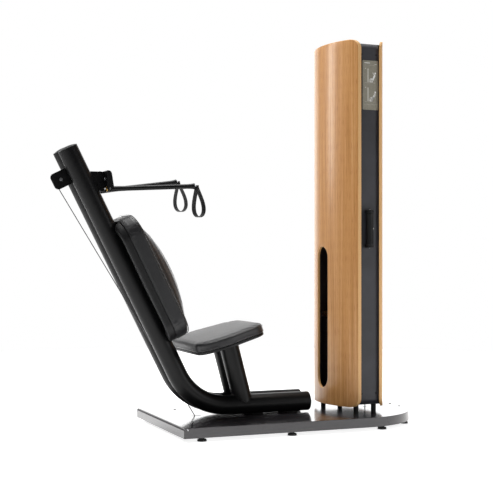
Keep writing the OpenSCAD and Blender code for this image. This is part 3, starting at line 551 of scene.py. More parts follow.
def grain_lines(tree, where, across, stretch, detail):
    """Noise whose features are across millimetres wide and stretch times longer up the sheet."""
    drawn = add(tree, "Mapping", Vector=where, Scale=(1.0, 1.0 / stretch, 1.0))
    return noise(tree, drawn.outputs[0], across, detail)


def math_of(tree, operation, *values):
    """Output of a Math node on values or sockets."""
    inputs = {f"Value__{k}": one for k, one in enumerate(values)}
    return add(tree, "Math", operation=operation, **inputs).outputs[0]


VENEER_TONES = ((0.3, "#b0783e"), (0.5, "#c78f54"), (0.72, "#d8a86f"))
PLY = 1.5

tree, shader, where = material("oiled_light_veneer", 0.42, Coat_Weight=0.3, Coat_Roughness=0.22)
sheet = add(tree, "Attribute", attribute_name="unrolled").outputs["Vector"]
bands = grain_lines(tree, sheet, 34, 30, 1.0)
growth = grain_lines(tree, sheet, 9, 90, 3.0)
pores = grain_lines(tree, sheet, 1.4, 45, 2.0)
tone = math_of(tree, "MULTIPLY_ADD", growth, 0.65, -0.03)
tone = math_of(tree, "MULTIPLY_ADD", bands, 0.4, tone)
hue = add(tree, "ValToRGB", Fac=tone)
for stop, (place, colour) in enumerate(VENEER_TONES):
    spot = hue.color_ramp.elements[stop] if stop < 2 else hue.color_ramp.elements.new(place)
    spot.position, spot.color = place, linear(colour)
pore_dark = add(tree, "MapRange", Value=pores, From_Min=0.56, From_Max=0.72).outputs["Result"]
painted(tree, shader, mixed(tree, pore_dark, hue.outputs["Color"], "#cfae8c", blend_type="MULTIPLY"))
raised(tree, shader, growth, 0.06, 0.4)
uneven(tree, shader, where, 0.42, 0.05, 60)

tree, shader, where = material("plywood_edge", 0.5)
sheet = add(tree, "Attribute", attribute_name="unrolled").outputs["Vector"]
into = add(tree, "SeparateXYZ", Vector=sheet).outputs["Z"]
plies = math_of(tree, "SINE", math_of(tree, "MULTIPLY", into, per_metre(PLY) * math.pi))
layer = add(tree, "MapRange", Value=plies, From_Min=-0.3, From_Max=0.3).outputs["Result"]
layered = mixed(tree, layer, "#c99a5e", "#edc996")
painted(tree, shader, mixed(tree, noise(tree, where, 5, 3.0), layered, "#f0dcc0", blend_type="MULTIPLY"))
print("veneer and its edge, plies of", PLY, "mm")

# %% [markdown]
# ### Print
# The instruction plate is a matt taupe panel with white and grey line drawings. The inks are almost flat, with
# only the faint mottle of screen printing.

# %% Printed finishes
INKS = {"taupe": ("#8b8779", "#817d70"), "white": ("#f0efec", "#e4e3df"), "grey": ("#b9b6ac", "#aeaba1")}
for ink, (light, dark) in INKS.items():
    coated(ink + "_screen_print", 0.5, light, dark, 9, wander=(0.04, 12))
coated("pale_studio_floor", 0.9, "#fbfbfb", "#f7f7f7", 400, Emission_Color=(1, 1, 1, 1), Emission_Strength=0.85)
print("finishes", len(finishes))

# %% [markdown]
# ## The floor
# A machine that floats looks pasted in. A wide pale disc under it takes the soft shadow of the deck.

# %% Studio floor
FLOOR_RADIUS, FLOOR_SPOKES, FLOOR_DROP = 5.0, 96, 0.0005
floor_spokes = np.linspace(0, 2 * math.pi, FLOOR_SPOKES, endpoint=False)
floor_rings = np.array([0.0, 0.5, 1.5, 3.0, FLOOR_RADIUS])
floor_grid = np.stack([floor_rings[:, None] * np.cos(floor_spokes), floor_rings[:, None] * np.sin(floor_spokes),
                       np.full((len(floor_rings), FLOOR_SPOKES), -FLOOR_DROP)], axis=-1)
floor_mesh = bpy.data.meshes.new("studio_floor")
floor_skin = skin(floor_grid, ends=False)
floor_mesh.from_pydata(floor_skin[0], [], floor_skin[1])
floor_mesh.flip_normals()
floor_obj = bpy.data.objects.new("studio_floor", floor_mesh)
bpy.context.scene.collection.objects.link(floor_obj)
floor_mesh.materials.append(finishes["pale_studio_floor"])
print("floor", FLOOR_RADIUS, "m")

# %% [markdown]
# ## The deck
# The deck is one folded sheet with a band of sheet round its edge, on levelling feet. The fold and the cut
# edges of enamelled steel are never sharp, and the paint makes them rounder still, so the engineering parts
# get 1.5 mm edges.

# %% Deck and feet
eased("base_deck", "gloss_enamel_on_steel", 1.4)
eased("base_rim", "gloss_enamel_on_steel", 1.2)
eased("base_crossbars", "satin_powder_coat", 1.5)
eased("levelling_feet", "moulded_rubber", 1.0)
print("deck pieces", made_pieces)

# %% [markdown]
# ## The two frame tubes
# Each tube is one length of steel bent once at the foot. It is a circle carried along a path: straight down
# the post, round a 290 mm bend, and along the floor. A shallow moulded cap closes each end.

# %% Frame tubes and caps
BEND_RADIUS = 290
TUBE_FRONT = 776
bend_turn = math.radians(90 - POST_LEAN)
bend_run = BEND_RADIUS * math.tan(bend_turn / 2)
bend_angles = np.linspace(-math.pi / 2 - bend_turn, -math.pi / 2, 25)
bend_x = POST_FOOT + bend_run + BEND_RADIUS * np.cos(bend_angles)
bend_z = TUBE_AXIS_Z + BEND_RADIUS + BEND_RADIUS * np.sin(bend_angles)
for side, end in SIDES:
    y = side * TUBE_AXIS_Y
    path = np.concatenate([post(0, y, np.linspace(POST_LENGTH, bend_run + 5, 12)), deck(bend_x, y, bend_z),
                           deck(np.linspace(POST_FOOT + bend_run + 5, TUBE_FRONT, 8), y, TUBE_AXIS_Z)])
    tube = skin(carried(path, ring(TUBE_RADIUS * MM, 72), (0, 1, 0)))
    piece(f"bent_tube_{end}", [tube], "satin_powder_coat",
          stands_for=(f"frame_tube_{end}",))
r = np.linspace(0, TUBE_RADIUS - 1.2, 14)
dome = np.stack([r, 3.4 + 8.4 * (1 - (r / TUBE_RADIUS) ** 2)], axis=-1)
cap_profile = np.concatenate([dome, [[TUBE_RADIUS - 0.5, 3.3], [TUBE_RADIUS, 2.6], [TUBE_RADIUS, 0.5],
                                     [TUBE_RADIUS - 0.7, 0], [TUBE_RADIUS - 0.7, -1], [0, -1]]])
cap_ways = [(post(0, s * TUBE_AXIS_Y, POST_LENGTH), post(0, 0, 1) - post(0, 0, 0)) for s in (-1, 1)]
cap_ways += [(deck(TUBE_FRONT, s * TUBE_AXIS_Y, TUBE_AXIS_Z), (1, 0, 0)) for s in (-1, 1)]
caps = [skin(turned(cap_profile, place, way, 72), ends=False) for place, way in cap_ways]
piece("domed_caps", caps, "satin_moulded_plastic", stands_for=("tube_end_caps",),
      sharp=50)
eased("frame_saddles", "satin_powder_coat", 1.5)
print("bend turns", round(math.degrees(bend_turn), 1), "degrees, caps", len(caps))

# %% [markdown]
# ## The seat's posts and their welds
# Each seat post is sawn so that its foot fits over the round floor tube, then welded. A point at angle a
# round the post lies r cos a forward and r sin a across; the foot's height there is where that point is one
# tube radius from the floor tube's axis. The weld is a rippled bead carried along that same curve.

# %% Seat posts and weld beads
SEAT_POST_RADIUS = 48.0
PLATE = 6
WELD_RADIUS, WELD_POINTS, POINTS_A_RIPPLE = 2.4, 240, 4
spin = np.linspace(0, 2 * math.pi, 72, endpoint=False)
lean_c, lean_s = math.cos(math.radians(SEAT_LEAN)), math.sin(math.radians(SEAT_LEAN))


def foot_height(radius):
    """How far up the post its wall meets the floor tube, at each angle round it."""
    over = np.sqrt(np.maximum(TUBE_RADIUS ** 2 - (radius * np.sin(spin)) ** 2, 0))
    return (over - radius * np.cos(spin) * lean_s) / lean_c


for side, end in SIDES:
    y = side * TUBE_AXIS_Y
    foot, top = foot_height(SEAT_POST_RADIUS) - 1.0, SEAT_HEIGHT - PLATE
    up = foot + (top - foot) * np.linspace(0, 1, 10)[:, None]
    wall = seat(SEAT_POST_RADIUS * np.cos(spin), y + SEAT_POST_RADIUS * np.sin(spin), up - SEAT_HEIGHT)
    piece(f"seat_post_tube_{end}", [skin(wall)], "satin_powder_coat",
          stands_for=(f"seat_post_{end}",))
    reach = SEAT_POST_RADIUS + 0.6
    seam_up = foot_height(SEAT_POST_RADIUS) + 0.8 - SEAT_HEIGHT
    seam = even(seat(reach * np.cos(spin), y + reach * np.sin(spin), seam_up), WELD_POINTS, closed=True)
    ripple = 1 + 0.16 * np.cos(np.arange(WELD_POINTS) * 2 * math.pi / POINTS_A_RIPPLE)
    bead = carried(seam, ring(WELD_RADIUS * MM, 10), seat(0, 0, 1) - seat(0, 0, 0), closed=True, scale=ripple)
    piece(f"weld_bead_{end}", [skin(bead, along=True)], "satin_powder_coat")
eased("seat_mount_plate", "satin_powder_coat", 1.2)
eased("seat_screws", "turned_steel", 0.5)
eased("seat_board", "satin_moulded_plastic", 2.0)
print("weld round", round(length_of(seam, closed=True) / MM), "mm")

# %% [markdown]
# ## Cushions
# A cushion is foam under a stretched cover, so it is crowned and full between its seams. It starts as rings
# of one outline: each ring has a scale, a height and a crown that rises to the middle. The form is remeshed
# into even cells and swollen by a short cloth simulation under pressure, with its underside held still, and
# each point may move only a few millimetres. Seams are pressed in afterwards, since remeshing would lose them.

# %% Swell a cushion
CUSHION_CELL, CUSHION_PRESSURE, CLOTH_FRAMES = 5.5, 4.0, 20
THREAD = 0.45


def cushion_grid(outline, rings, half):
    """Rings of an outline in the cushion's plane. The crown of a ring lifts a point by one minus the square
    of its place along and across, each as a share of the cushion's half size."""
    flat = np.array([r[0] for r in rings])[:, None, None] * outline[None]
    fall = (1 - (flat[..., 0] / half[0]) ** 2) * (1 - (flat[..., 1] / half[1]) ** 2)
    height = np.array([r[1] for r in rings])[:, None] + np.array([r[2] for r in rings])[:, None] * fall
    return np.concatenate([flat, height[..., None]], axis=-1) * MM


def swollen(name, grid, cap, held_below):
    """Points and faces of the cushion after remeshing and cloth, in its own frame, in metres. No point moves
    more than cap millimetres, and all below held_below millimetres stay."""
    skinned = skin(grid)
    mesh = bpy.data.meshes.new(name + "_form")
    mesh.from_pydata(skinned[0], [], skinned[1])
    form = bmesh.new()
    form.from_mesh(mesh)
    bmesh.ops.recalc_face_normals(form, faces=form.faces)
    form.to_mesh(mesh)
    form.free()
    obj = bpy.data.objects.new(name + "_form", mesh)
    bpy.context.scene.collection.objects.link(obj)
    cells = obj.modifiers.new("cells", "REMESH")
    cells.mode = "VOXEL"
    cells.voxel_size = CUSHION_CELL * MM
    even_mesh = bpy.data.meshes.new_from_object(obj.evaluated_get(bpy.context.evaluated_depsgraph_get()))
    obj.modifiers.clear()
    obj.data = even_mesh
    rest = np.empty(len(even_mesh.vertices) * 3, np.float32)
    even_mesh.vertices.foreach_get("co", rest)
    rest = rest.reshape(-1, 3)
    moved = rest.copy()
    pins = obj.vertex_groups.new(name="held")
    pins.add(np.flatnonzero(rest[:, 2] < held_below * MM).tolist(), 1.0, "REPLACE")
    cloth = obj.modifiers.new("cover", "CLOTH")
    cloth.settings.quality = 4
    cloth.settings.mass = 0.3
    cloth.settings.tension_stiffness = cloth.settings.compression_stiffness = 25
    cloth.settings.bending_stiffness = 2.0
    cloth.settings.use_pressure = True
    cloth.settings.uniform_pressure_force = CUSHION_PRESSURE
    cloth.settings.vertex_group_mass = "held"
    cloth.settings.effector_weights.gravity = 0
    cloth.point_cache.frame_end = CLOTH_FRAMES
    scene = bpy.context.scene
    for tick in range(1, CLOTH_FRAMES + 1):
        scene.frame_set(tick)
    swelled = obj.evaluated_get(bpy.context.evaluated_depsgraph_get()).data
    out = np.empty(len(rest) * 3, np.float32)
    swelled.vertices.foreach_get("co", out)
    step = out.reshape(-1, 3) - rest
    far = np.linalg.norm(step, axis=1, keepdims=True)
    moved = rest + step * np.minimum(1, cap * MM / np.maximum(far, 1e-9))
    scene.frame_set(1)
    faces = np.empty(len(even_mesh.loops), np.int32)
    even_mesh.loops.foreach_get("vertex_index", faces)
    sizes = np.empty(len(even_mesh.polygons), np.int32)
    even_mesh.polygons.foreach_get("loop_total", sizes)
    faces = [part.tolist() for part in np.split(faces, np.cumsum(sizes)[:-1])]
    bpy.data.objects.remove(obj)
    print(name, "cells", len(rest), "largest move", round(float(np.abs(moved - rest).max()) * 1000, 1), "mm")
    return moved.astype(float), faces


def stitched(path, over, stitch=3.2, gap=1.4):
    """Stitches along a path: each is a small eight-sided spindle that lies in the path's direction, and
    over is the way out of the cloth at each point of the path."""
    total = length_of(path, closed=True)
    count = int(total / ((stitch + gap) * MM))
    middle = even(path, count, closed=True)
    lift = unit(even(over, count, closed=True))
    heading = unit(np.roll(middle, -1, axis=0) - np.roll(middle, 1, axis=0))
    side = np.cross(heading, lift)
    rows = np.array([[-1, 0.25], [-0.7, 0.9], [0.7, 0.9], [1, 0.25]])
    spokes = ring(1.0, 6)
    grid = (middle[:, None, None] + (rows[None, :, None, :1] * stitch / 2 * MM) * heading[:, None, None]
            + rows[None, :, None, 1:] * THREAD * MM * (spokes[None, None, :, :1] * side[:, None, None]
                                                       + spokes[None, None, :, 1:] * lift[:, None, None]))
    return [skin(one) for one in grid]


def soft_piece(name, points, faces, stands_for):
    """A cushion's finished mesh as a piece, smoothed once more."""
    count = sum(len(f) for f in faces)
    part = (points, faces, [0] * len(faces), np.zeros((count, 2)))
    return piece(name, [part], "embossed_vinyl", "root", stands_for, sharp=180, smooth=1)


# %% [markdown]
# ## The seat
# The seat is a thick pad on a board, wide at the back corners and rounded at the front. Its cover is sewn
# from a top panel and a side band, and the seam between them is a fine dark groove just below the top edge.

# %% Seat cushion
BOARD = 12
SEAT_PAD = 48
SEAT_HALF = (220, 262)
SEAM = SEAT_PAD - 9
SEAT_POINTS = 220
seat_corners = np.array([[-215, 232, 70], [-70, 262, 260], [168, 200, 95]], float)
seat_corners = np.concatenate([seat_corners * (1, -1, 1), seat_corners[::-1]])
seat_outline = even(rounded(seat_corners), SEAT_POINTS, closed=True)
seat_rings = [(0.955, 1, 0), (0.982, 3, 0), (0.99, 10, 0), (0.99, SEAT_PAD - 13, 0), (0.982, SEAT_PAD - 7, 0),
              (0.96, SEAT_PAD - 4, 0), (0.88, SEAT_PAD - 3, 1), (0.6, SEAT_PAD - 3, 3), (0.25, SEAT_PAD - 3, 3),
              (0.02, SEAT_PAD - 3, 3)]
points, faces = swollen("seat_cushion", cushion_grid(seat_outline, seat_rings, SEAT_HALF), 3.0, 6)
inward = -unit(points[:, :2])
groove = np.exp(-((points[:, 2] / MM - SEAM) / 2.2) ** 2) * (np.linalg.norm(points[:, :2], axis=1) > 0.14)
points[:, :2] += inward * groove[:, None] * 1.6 * MM
points[:, 2] = np.clip(points[:, 2], 0.3 * MM, SEAT_PAD * MM + 6 * MM)
placed = seat(points[:, 0] / MM, points[:, 1] / MM, BOARD + points[:, 2] / MM)
seat_cushion = soft_piece("seat_cushion", placed, faces, ("seat_pad",))

# %% [markdown]
# ## The back pad
# The back has three layers: a tray that wraps round behind it and is notched over the tubes, a flat-sided
# bolster whose front edge is piped and top-stitched, and a domed lumbar panel that swells out of a deep
# groove inside that edge. The bolster's cover meets the tray at a double seam.

# %% Back tray
BACK_MIDDLE = POST_LENGTH - 730
BACK_HALF = (170, 326)
BACK_CORNER = 100
BACK_POINTS = 260
TRAY_REAR, TRAY_FRONT, BACK_EDGE, LUMBAR = 20, 54, 130, 80
TRAY_THICK = 4.5
NOTCH_EDGE, NOTCH_SOFT = 112, 3.0


def back(across, along, out):
    """Millimetres across the back pad, along it from its middle, and out in front of the post's axis."""
    return post(out, across, BACK_MIDDLE + along)


back_outline = even(box_outline(*BACK_HALF, BACK_CORNER, 24), BACK_POINTS, closed=True)
from_middle = np.linalg.norm(back_outline, axis=1, keepdims=True)
over_tubes = 1 / (1 + np.exp((np.abs(back_outline[:, 0]) - NOTCH_EDGE) / NOTCH_SOFT))
tray_floor = TRAY_FRONT - TRAY_THICK
tray_rear = TRAY_REAR + (tray_floor - TRAY_REAR) * over_tubes


def tray_ring(scale, out):
    """The pad's outline at a scale, with how far out each point lies."""
    return np.concatenate([back_outline * scale, np.broadcast_to(out, (BACK_POINTS,))[:, None]], axis=1)


tray_steps = ((4, 1.0), (4, 0.35), (5.5, 0.15), (9, 0.03), (14, 0.0), (36, 0.0), (44, 0.06))
tray_rings = [tray_ring(1 - inset / from_middle, tray_rear + (TRAY_FRONT - tray_rear) * share)
              for inset, share in tray_steps]
tray_rings += [tray_ring(1 - 48 / from_middle, tray_floor), tray_ring(0.1, tray_floor),
               tray_ring(0.1, TRAY_FRONT), tray_rings[0]]
tray = np.stack(tray_rings)
piece("back_tray", [skin(back(tray[..., 0], tray[..., 1], tray[..., 2]), ends=False)],
      "satin_moulded_plastic", stands_for=("back_shell",), sharp=60)
print("tray rings", len(tray_rings))

# %% Back cushion
SEAM_REACH = 150
back_rings = [(0.95, TRAY_FRONT + 1, 0), (0.985, TRAY_FRONT + 3, 0), (0.99, TRAY_FRONT + 10, 0),
              (0.99, BACK_EDGE - 16, 0), (0.985, BACK_EDGE - 6, 0), (0.965, BACK_EDGE - 2, 0),
              (0.93, BACK_EDGE - 1, 0), (0.885, BACK_EDGE - 13, 0), (0.85, BACK_EDGE - 8, 0.35 * LUMBAR),
              (0.78, BACK_EDGE - 4, 0.72 * LUMBAR), (0.6, BACK_EDGE - 3, 0.97 * LUMBAR),
              (0.35, BACK_EDGE - 3, LUMBAR), (0.1, BACK_EDGE - 3, LUMBAR), (0.01, BACK_EDGE - 3, LUMBAR)]
points, faces = swollen("back_cushion", cushion_grid(back_outline, back_rings, BACK_HALF), 4.0, TRAY_FRONT + 6)
out = points[:, 2] / MM
rim = np.linalg.norm(points[:, :2], axis=1) / MM > SEAM_REACH
for seam_at, width, deep in ((TRAY_FRONT + 8, 2.2, 1.8), (TRAY_FRONT + 15, 1.8, 1.0)):
    press = np.exp(-((out - seam_at) / width) ** 2) * rim
    points[:, :2] -= unit(points[:, :2]) * press[:, None] * deep * MM
points[:, 2] = np.maximum(points[:, 2], (TRAY_FRONT + 0.2) * MM)
placed = back(points[:, 0] / MM, points[:, 1] / MM, points[:, 2] / MM)
back_cushion = soft_piece("back_cushion", placed, faces, ("back_pad",))

# %% Piping and stitches of both cushions
out_of_post = post(1, 0, 0) - post(0, 0, 0)
edge_line = back_outline * 0.975
piping_path = back(edge_line[:, 0], edge_line[:, 1], BACK_EDGE - 1.5)
piping = skin(carried(piping_path, ring(2.2 * MM, 10), out_of_post, closed=True), along=True)
piece("back_piping", [piping], "embossed_vinyl")


def around_back(scale, out):
    """A line round the back pad at a scale and height, and the way out of its side there."""
    line = back_outline * scale
    here = back(line[:, 0], line[:, 1], out)
    return here, here - back(line[:, 0] * 0.9, line[:, 1] * 0.9, out)


rows = stitched(*around_back(1.004, TRAY_FRONT + 12)) + stitched(*around_back(1.0, BACK_EDGE - 9))
seat_line = seat_outline * 0.998
seat_row = seat(seat_line[:, 0], seat_line[:, 1], BOARD + SEAM - 5)
rows += stitched(seat_row, seat_row - seat(seat_line[:, 0] * 0.9, seat_line[:, 1] * 0.9, BOARD + SEAM - 5))
piece("cushion_stitches", rows, "sewing_thread", sharp=180)
print("stitches", len(rows))

# %% [markdown]
# ## The cable path
# Two thin wire ropes run under the deck, up behind the post, over the rear sheaves and out to the arms. They
# are swept tubes in the engineering model already, so a joined copy with one subdivision makes them round.

# %% Brackets, crosshead and cables
eased("rear_bracket", "satin_powder_coat", 1.2)
eased("rear_axle_bolt", "turned_steel", 0.7)
eased("crosshead_bracket", "satin_powder_coat", 1.0)
eased("crosshead_shell", "satin_powder_coat", 1.0)
for _, end in SIDES:
    eased(f"cable_{end}", "coated_wire_rope", 0, smooth=1)
print("pieces so far", len(made_pieces))

# %% [markdown]
# ## The guide arms
# Each arm is a steel tube that widens to a smooth mouth, so that the rope and its ball can't catch. A brass
# ferrule closes its root. Both keep their engineered shapes with only a fine rounding of the edges.

# %% Arms and ferrules
for _, end in SIDES:
    eased(f"arm_tube_{end}", "satin_powder_coat", 0.3, body=f"{end}_arm")
    eased(f"arm_ferrule_{end}", "turned_brass", 0.3, body=f"{end}_arm")

# %% [markdown]
# ## Hand loops
# Each hand loop is one band of webbing whose two ends are sewn together below the link. The band's section is
# a thin rounded rectangle carried along the loop; a slow sway of half a millimetre to the side keeps it from
# looking stamped.

# %% Webbing loops
ARM_LENGTH = 416
ARM_PIVOT = (-276, 96.5, 1112)
ARM_SPLAY = 5.5
LOOP_HIGH, LOOP_WIDE, WEBBING, WEB_THICK = 152, 80, 25, 2.4
LOOP_LEAN, LOOP_LEAD = 9, 11
JOIN_TOP, JOIN_END, JOIN_HALF = 4.6, -19, 3.0
STITCH_BOX = ((-9.5, -3), (9.5, -3), (9.5, -17), (-9.5, -17))
ARMS = {"near": (-1, 2.8, 33), "far": (1, 7.8, 26)}


def arm_way(side, pitch):
    """Unit vector along an arm."""
    p, s = math.radians(pitch), math.radians(ARM_SPLAY)
    return np.array([math.cos(p) * math.cos(s), side * math.cos(p) * math.sin(s), math.sin(p)])


def webbing_section():
    """A band's section: wide across, thin, with rounded selvedges."""
    outline = box_outline(WEB_THICK / 2, WEBBING / 2, WEB_THICK / 2 - 0.05, 5)
    return outline * MM


def loop_hook(side, pitch, turn):
    """Where a loop hangs from its arm, and the turn that leans it and swings it about the vertical."""
    pivot = deck(ARM_PIVOT[0], side * ARM_PIVOT[1], ARM_PIVOT[2])
    hang = pivot + (ARM_LENGTH + LOOP_LEAD) * MM * arm_way(side, pitch)
    lean, swing = math.radians(-LOOP_LEAN), math.radians(turn)
    tilt = np.array([[math.cos(lean), 0, math.sin(lean)], [0, 1, 0], [-math.sin(lean), 0, math.cos(lean)]])
    upright = np.array([[math.cos(swing), -math.sin(swing), 0], [math.sin(swing), math.cos(swing), 0],
                        [0, 0, 1]])
    return hang, upright @ tilt


def hung(hook, x, y, z):
    """Millimetres in a loop's own frame, from the point it hangs from."""
    hang, swung = hook
    x, y, z = np.broadcast_arrays(x, y, z)
    return hang + (np.stack([x, y, z], axis=-1) * MM) @ swung.T


def webbing_loop(hook):
    """The loop's band and the doubled patch where its ends are sewn together."""
    t = np.radians(np.linspace(13, 347, 90))
    loop_x = 0.712 * (LOOP_WIDE - WEB_THICK) * np.sin(t) * np.sin(t / 2) ** 1.5
    loop_z = -(LOOP_HIGH - WEB_THICK) * (1 - np.cos(t)) / 2 - WEB_THICK / 2
    loop = even(hung(hook, loop_x, 0.5 * np.sin(2 * t), loop_z), 120)
    width_way = hung(hook, 0, 1, 0) - hung(hook, 0, 0, 0)
    band_size = (2 * (WEBBING + WEB_THICK) * MM, length_of(loop))
    band = skin(carried(loop, webbing_section(), width_way), size=band_size)
    join = hung(hook, 0, 0, np.linspace(JOIN_TOP, JOIN_END, 14))
    section = box_outline(JOIN_HALF, WEBBING / 2 - 0.6, 1.4, 5) * MM
    return [band, skin(carried(join, section, width_way), size=(0.055, 0.02))]


for end, arm in ARMS.items():
    hook = loop_hook(*arm)
    piece(f"webbing_loop_{end}", webbing_loop(hook), "woven_webbing", body=f"{end}_handle",
          stands_for=(f"strap_{end}",), sharp=60)
    corner = np.array(STITCH_BOX)
    loops = []
    for face in (-1, 1):
        frame_line = even(hung(hook, face * (JOIN_HALF + 0.1), corner[:, 0], corner[:, 1]), 44, closed=True)
        out = np.broadcast_to(hung(hook, face, 0, 0) - hung(hook, 0, 0, 0), frame_line.shape)
        loops += stitched(frame_line, out, 2.2, 0.9)
    piece(f"loop_stitches_{end}", loops, "sewing_thread", body=f"{end}_handle", sharp=180)
    print(end, "loop hangs from", hook[0].round(3), "stitches", len(loops))

# %% [markdown]
# ## The wooden shells
# Each shell is a sheet bent to a 418 mm radius. In front view it is a tall rectangle with round corners, and
# the front one has a slot. A grid of rings runs from the slot to the outside over the face, round the edge,
# and back over the inner side. Every point knows only its place across and its height: bending the sheet then
# sets how far back it lies, by the circle through it.

# %% Bent plywood shells
front_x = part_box("front_shell")[0][0] / MM
rear_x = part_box("rear_shell")[1][0] / MM
SHELL_RADIUS, SHELL_THICK, SHELL_CORNER, SHELL_HALF = 418, 13, 45, 250
SHELL_FOOT, SHELL_TOP = 30, 1890
EDGE_ROUND, EDGE_MIDWAY = 1.2, 0.35
SLOT = (57.5, 112, 845)
NO_SLOT = (0.02, 480, 1400)
REAR_GRAIN_SHIFT = 3.7
SIDE_POINTS, CORNER_POINTS = 60, 24


def four_sides(half_x, low, high, radius):
    """An outline in four runs of points, right side, top, left side and bottom, so that two outlines of
    different shape still match run by run."""
    turn = np.linspace(0, math.pi / 2, CORNER_POINTS)
    arc = radius * np.stack([np.cos(turn), np.sin(turn)], axis=-1)
    corner = np.array([half_x - radius, high - radius]) + arc
    top = np.concatenate([corner, corner[::-1] * (-1, 1)])
    middle = np.array([0, high + low])
    up = np.linspace(low + radius, high - radius, SIDE_POINTS)
    side = np.stack([np.full(SIDE_POINTS, half_x), up], axis=-1)
    runs = [side, even(top, SIDE_POINTS), middle - side, even(middle - top, SIDE_POINTS)]
    return np.concatenate([run[:-1] for run in runs])


def between(slot, inset, share):
    """A ring that lies a share of the way from the slot's outline, grown by the inset, to the shell's own
    outline, shrunk by it."""
    half, low, high = slot
    outside = four_sides(SHELL_HALF - inset, SHELL_FOOT + inset, SHELL_TOP - inset, SHELL_CORNER - inset)
    inside = four_sides(half + inset, low - inset, high + inset, half + inset)
    return outside * share + inside * (1 - share)


def edge_rings(share):
    """Four rings from face to back round a cut edge. A ring is an inset, a share, a depth into the sheet and
    whether it lies on the cut edge."""
    return [(EDGE_MIDWAY, share, EDGE_MIDWAY, 1), (0.0, share, EDGE_ROUND, 1),
            (0.0, share, SHELL_THICK - EDGE_ROUND, 1), (EDGE_MIDWAY, share, SHELL_THICK - EDGE_MIDWAY, 1)]


def bent_sheet(slot, facing):
    """Points of one shell, a finish for each gap between its rings, and the places on the unrolled sheet."""
    face = np.linspace(0, 1, 36)
    plan = [(EDGE_ROUND, share, 0.0, 0) for share in face] + edge_rings(1)
    plan += [(EDGE_ROUND, share, SHELL_THICK, 0) for share in face[::-1]] + edge_rings(0)[::-1]
    flat = np.stack([between(slot, inset, share) for inset, share, _, _ in plan])
    depth = np.array([ring_plan[2] for ring_plan in plan])[:, None]
    back_set = SHELL_RADIUS - np.sqrt((SHELL_RADIUS - depth) ** 2 - flat[..., 0] ** 2)
    round_way = SHELL_RADIUS * np.arcsin(flat[..., 0] / SHELL_RADIUS)
    unrolled = np.stack([round_way, flat[..., 1], np.broadcast_to(depth, round_way.shape)], axis=-1) * MM
    cut = [ring_plan[3] for ring_plan in plan]
    marks = [1 if cut[k] or cut[(k + 1) % len(cut)] else 0 for k in range(len(cut))]
    x = front_x + back_set if facing > 0 else rear_x - back_set
    grid = np.stack([x * MM, flat[..., 0] * MM, deck_high[2] + flat[..., 1] * MM], axis=-1)
    return grid, marks, unrolled


for end, slot, facing, shift in (("front", SLOT, 1, 0.0), ("rear", NO_SLOT, -1, REAR_GRAIN_SHIFT)):
    grid, marks, unrolled = bent_sheet(slot, facing)
    sheet = (unrolled + np.array([shift, 0.0, 0.0])).reshape(-1, 3)
    piece(f"{end}_veneered_shell", [skin(grid, along=True, marks=marks)],
          ("oiled_light_veneer", "plywood_edge"), stands_for=(f"{end}_shell",), sharp=60,
          notes={"unrolled": sheet})
    print(end, "shell", grid.shape[0], "rings of", grid.shape[1])

# %% [markdown]
# ## The tower's sides and the weight stack
# The folded charcoal sheet between the shells, the rods and the plates are plain engineered shapes. They are
# rounded copies again, with finishes of their own.

# %% Tower body, rods and plates
eased("tower_body", "charcoal_powder_coat", 1.2)
eased("shell_rails", "charcoal_powder_coat", 0.8)
eased("tower_end_covers", "charcoal_powder_coat", 0.6)
eased("tower_feet", "moulded_rubber", 1.0)
eased("guide_rods", "turned_steel", 0.5)
eased("resting_plates", "painted_cast_iron", 1.2)
eased("lifted_plates", "painted_cast_iron", 1.2, body="stack")
eased("stack_carriage", "turned_steel", 1.0, body="stack")
eased("top_sheave_bracket", "satin_powder_coat", 0.8)
eased("base_sheave_brackets", "satin_powder_coat", 0.8)
print("pieces so far", len(made_pieces))

# %% [markdown]
# ## The instruction plate
# The plate shows how to sit and pull, in line drawings without words: a tower, a bench, and a sitting figure
# of round strokes, once with the arms up and once with the arms down. Each stroke is a flat band with round
# ends that stands a hair's breadth off the plate.

# %% Plate and pictograms
eased("sign_plate", "taupe_screen_print", 0.6)
sign_low, sign_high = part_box("sign_plate")
sign_x, sign_z = (sign_low[0] + sign_high[0]) / 2, (sign_low[2] + sign_high[2]) / 2
INK = 0.0004


def stroke(start, stop, thick):
    """A flat band from start to stop, in millimetres from the plate's middle, with round ends."""
    start, stop = np.array(start, float), np.array(stop, float)
    along = unit(stop - start + 1e-9)
    across = np.array([-along[1], along[0]])
    turn = np.linspace(-math.pi / 2, math.pi / 2, 9)
    cap = thick / 2 * (np.cos(turn)[:, None] * along + np.sin(turn)[:, None] * across)
    outline = np.concatenate([stop + cap, start - cap])
    y = np.array([sign_low[1], sign_low[1] - INK])[:, None]
    x, z = sign_x + outline[:, 0] * MM, sign_z + outline[:, 1] * MM
    return skin(np.stack(np.broadcast_arrays(x[None], y, z[None]), axis=-1))


grey = [stroke((-36, 101), (36, 101), 0.8), stroke((-36, -98), (36, -98), 0.8)]
white = [stroke((-34, 112), (-4, 112), 2.6), stroke((24, 107), (34, 107), 1.6)]
FIGURE = (((-2, 4), (12, 4), 3.0), ((4, 4), (4, 14), 2.6), ((-4, 16), (12, 16), 4.0), ((10, 4), (26, 34), 3.0),
          ((0, 20), (14, 20), 6.0), ((14, 20), (24, 40), 7.0), ((-1, 20), (-3, 6), 4.0),
          ((27, 49), (27.2, 49), 9.0))
for base, hands in ((12, (18, 44)), (-84, (14, 8))):
    grey += [stroke((-14, base + 6), (-14, base + 68), 8), stroke((-32, base), (26, base), 1.0)]
    grip = (hands[0] - 4, hands[1] + 8)
    drawing = (*FIGURE, ((23, 38), hands, 2.6), (hands, grip, 2.4), ((-30, 72), (-26, 72), 2.0))
    white += [stroke((x0, base + z0), (x1, base + z1), thick) for (x0, z0), (x1, z1), thick in drawing]
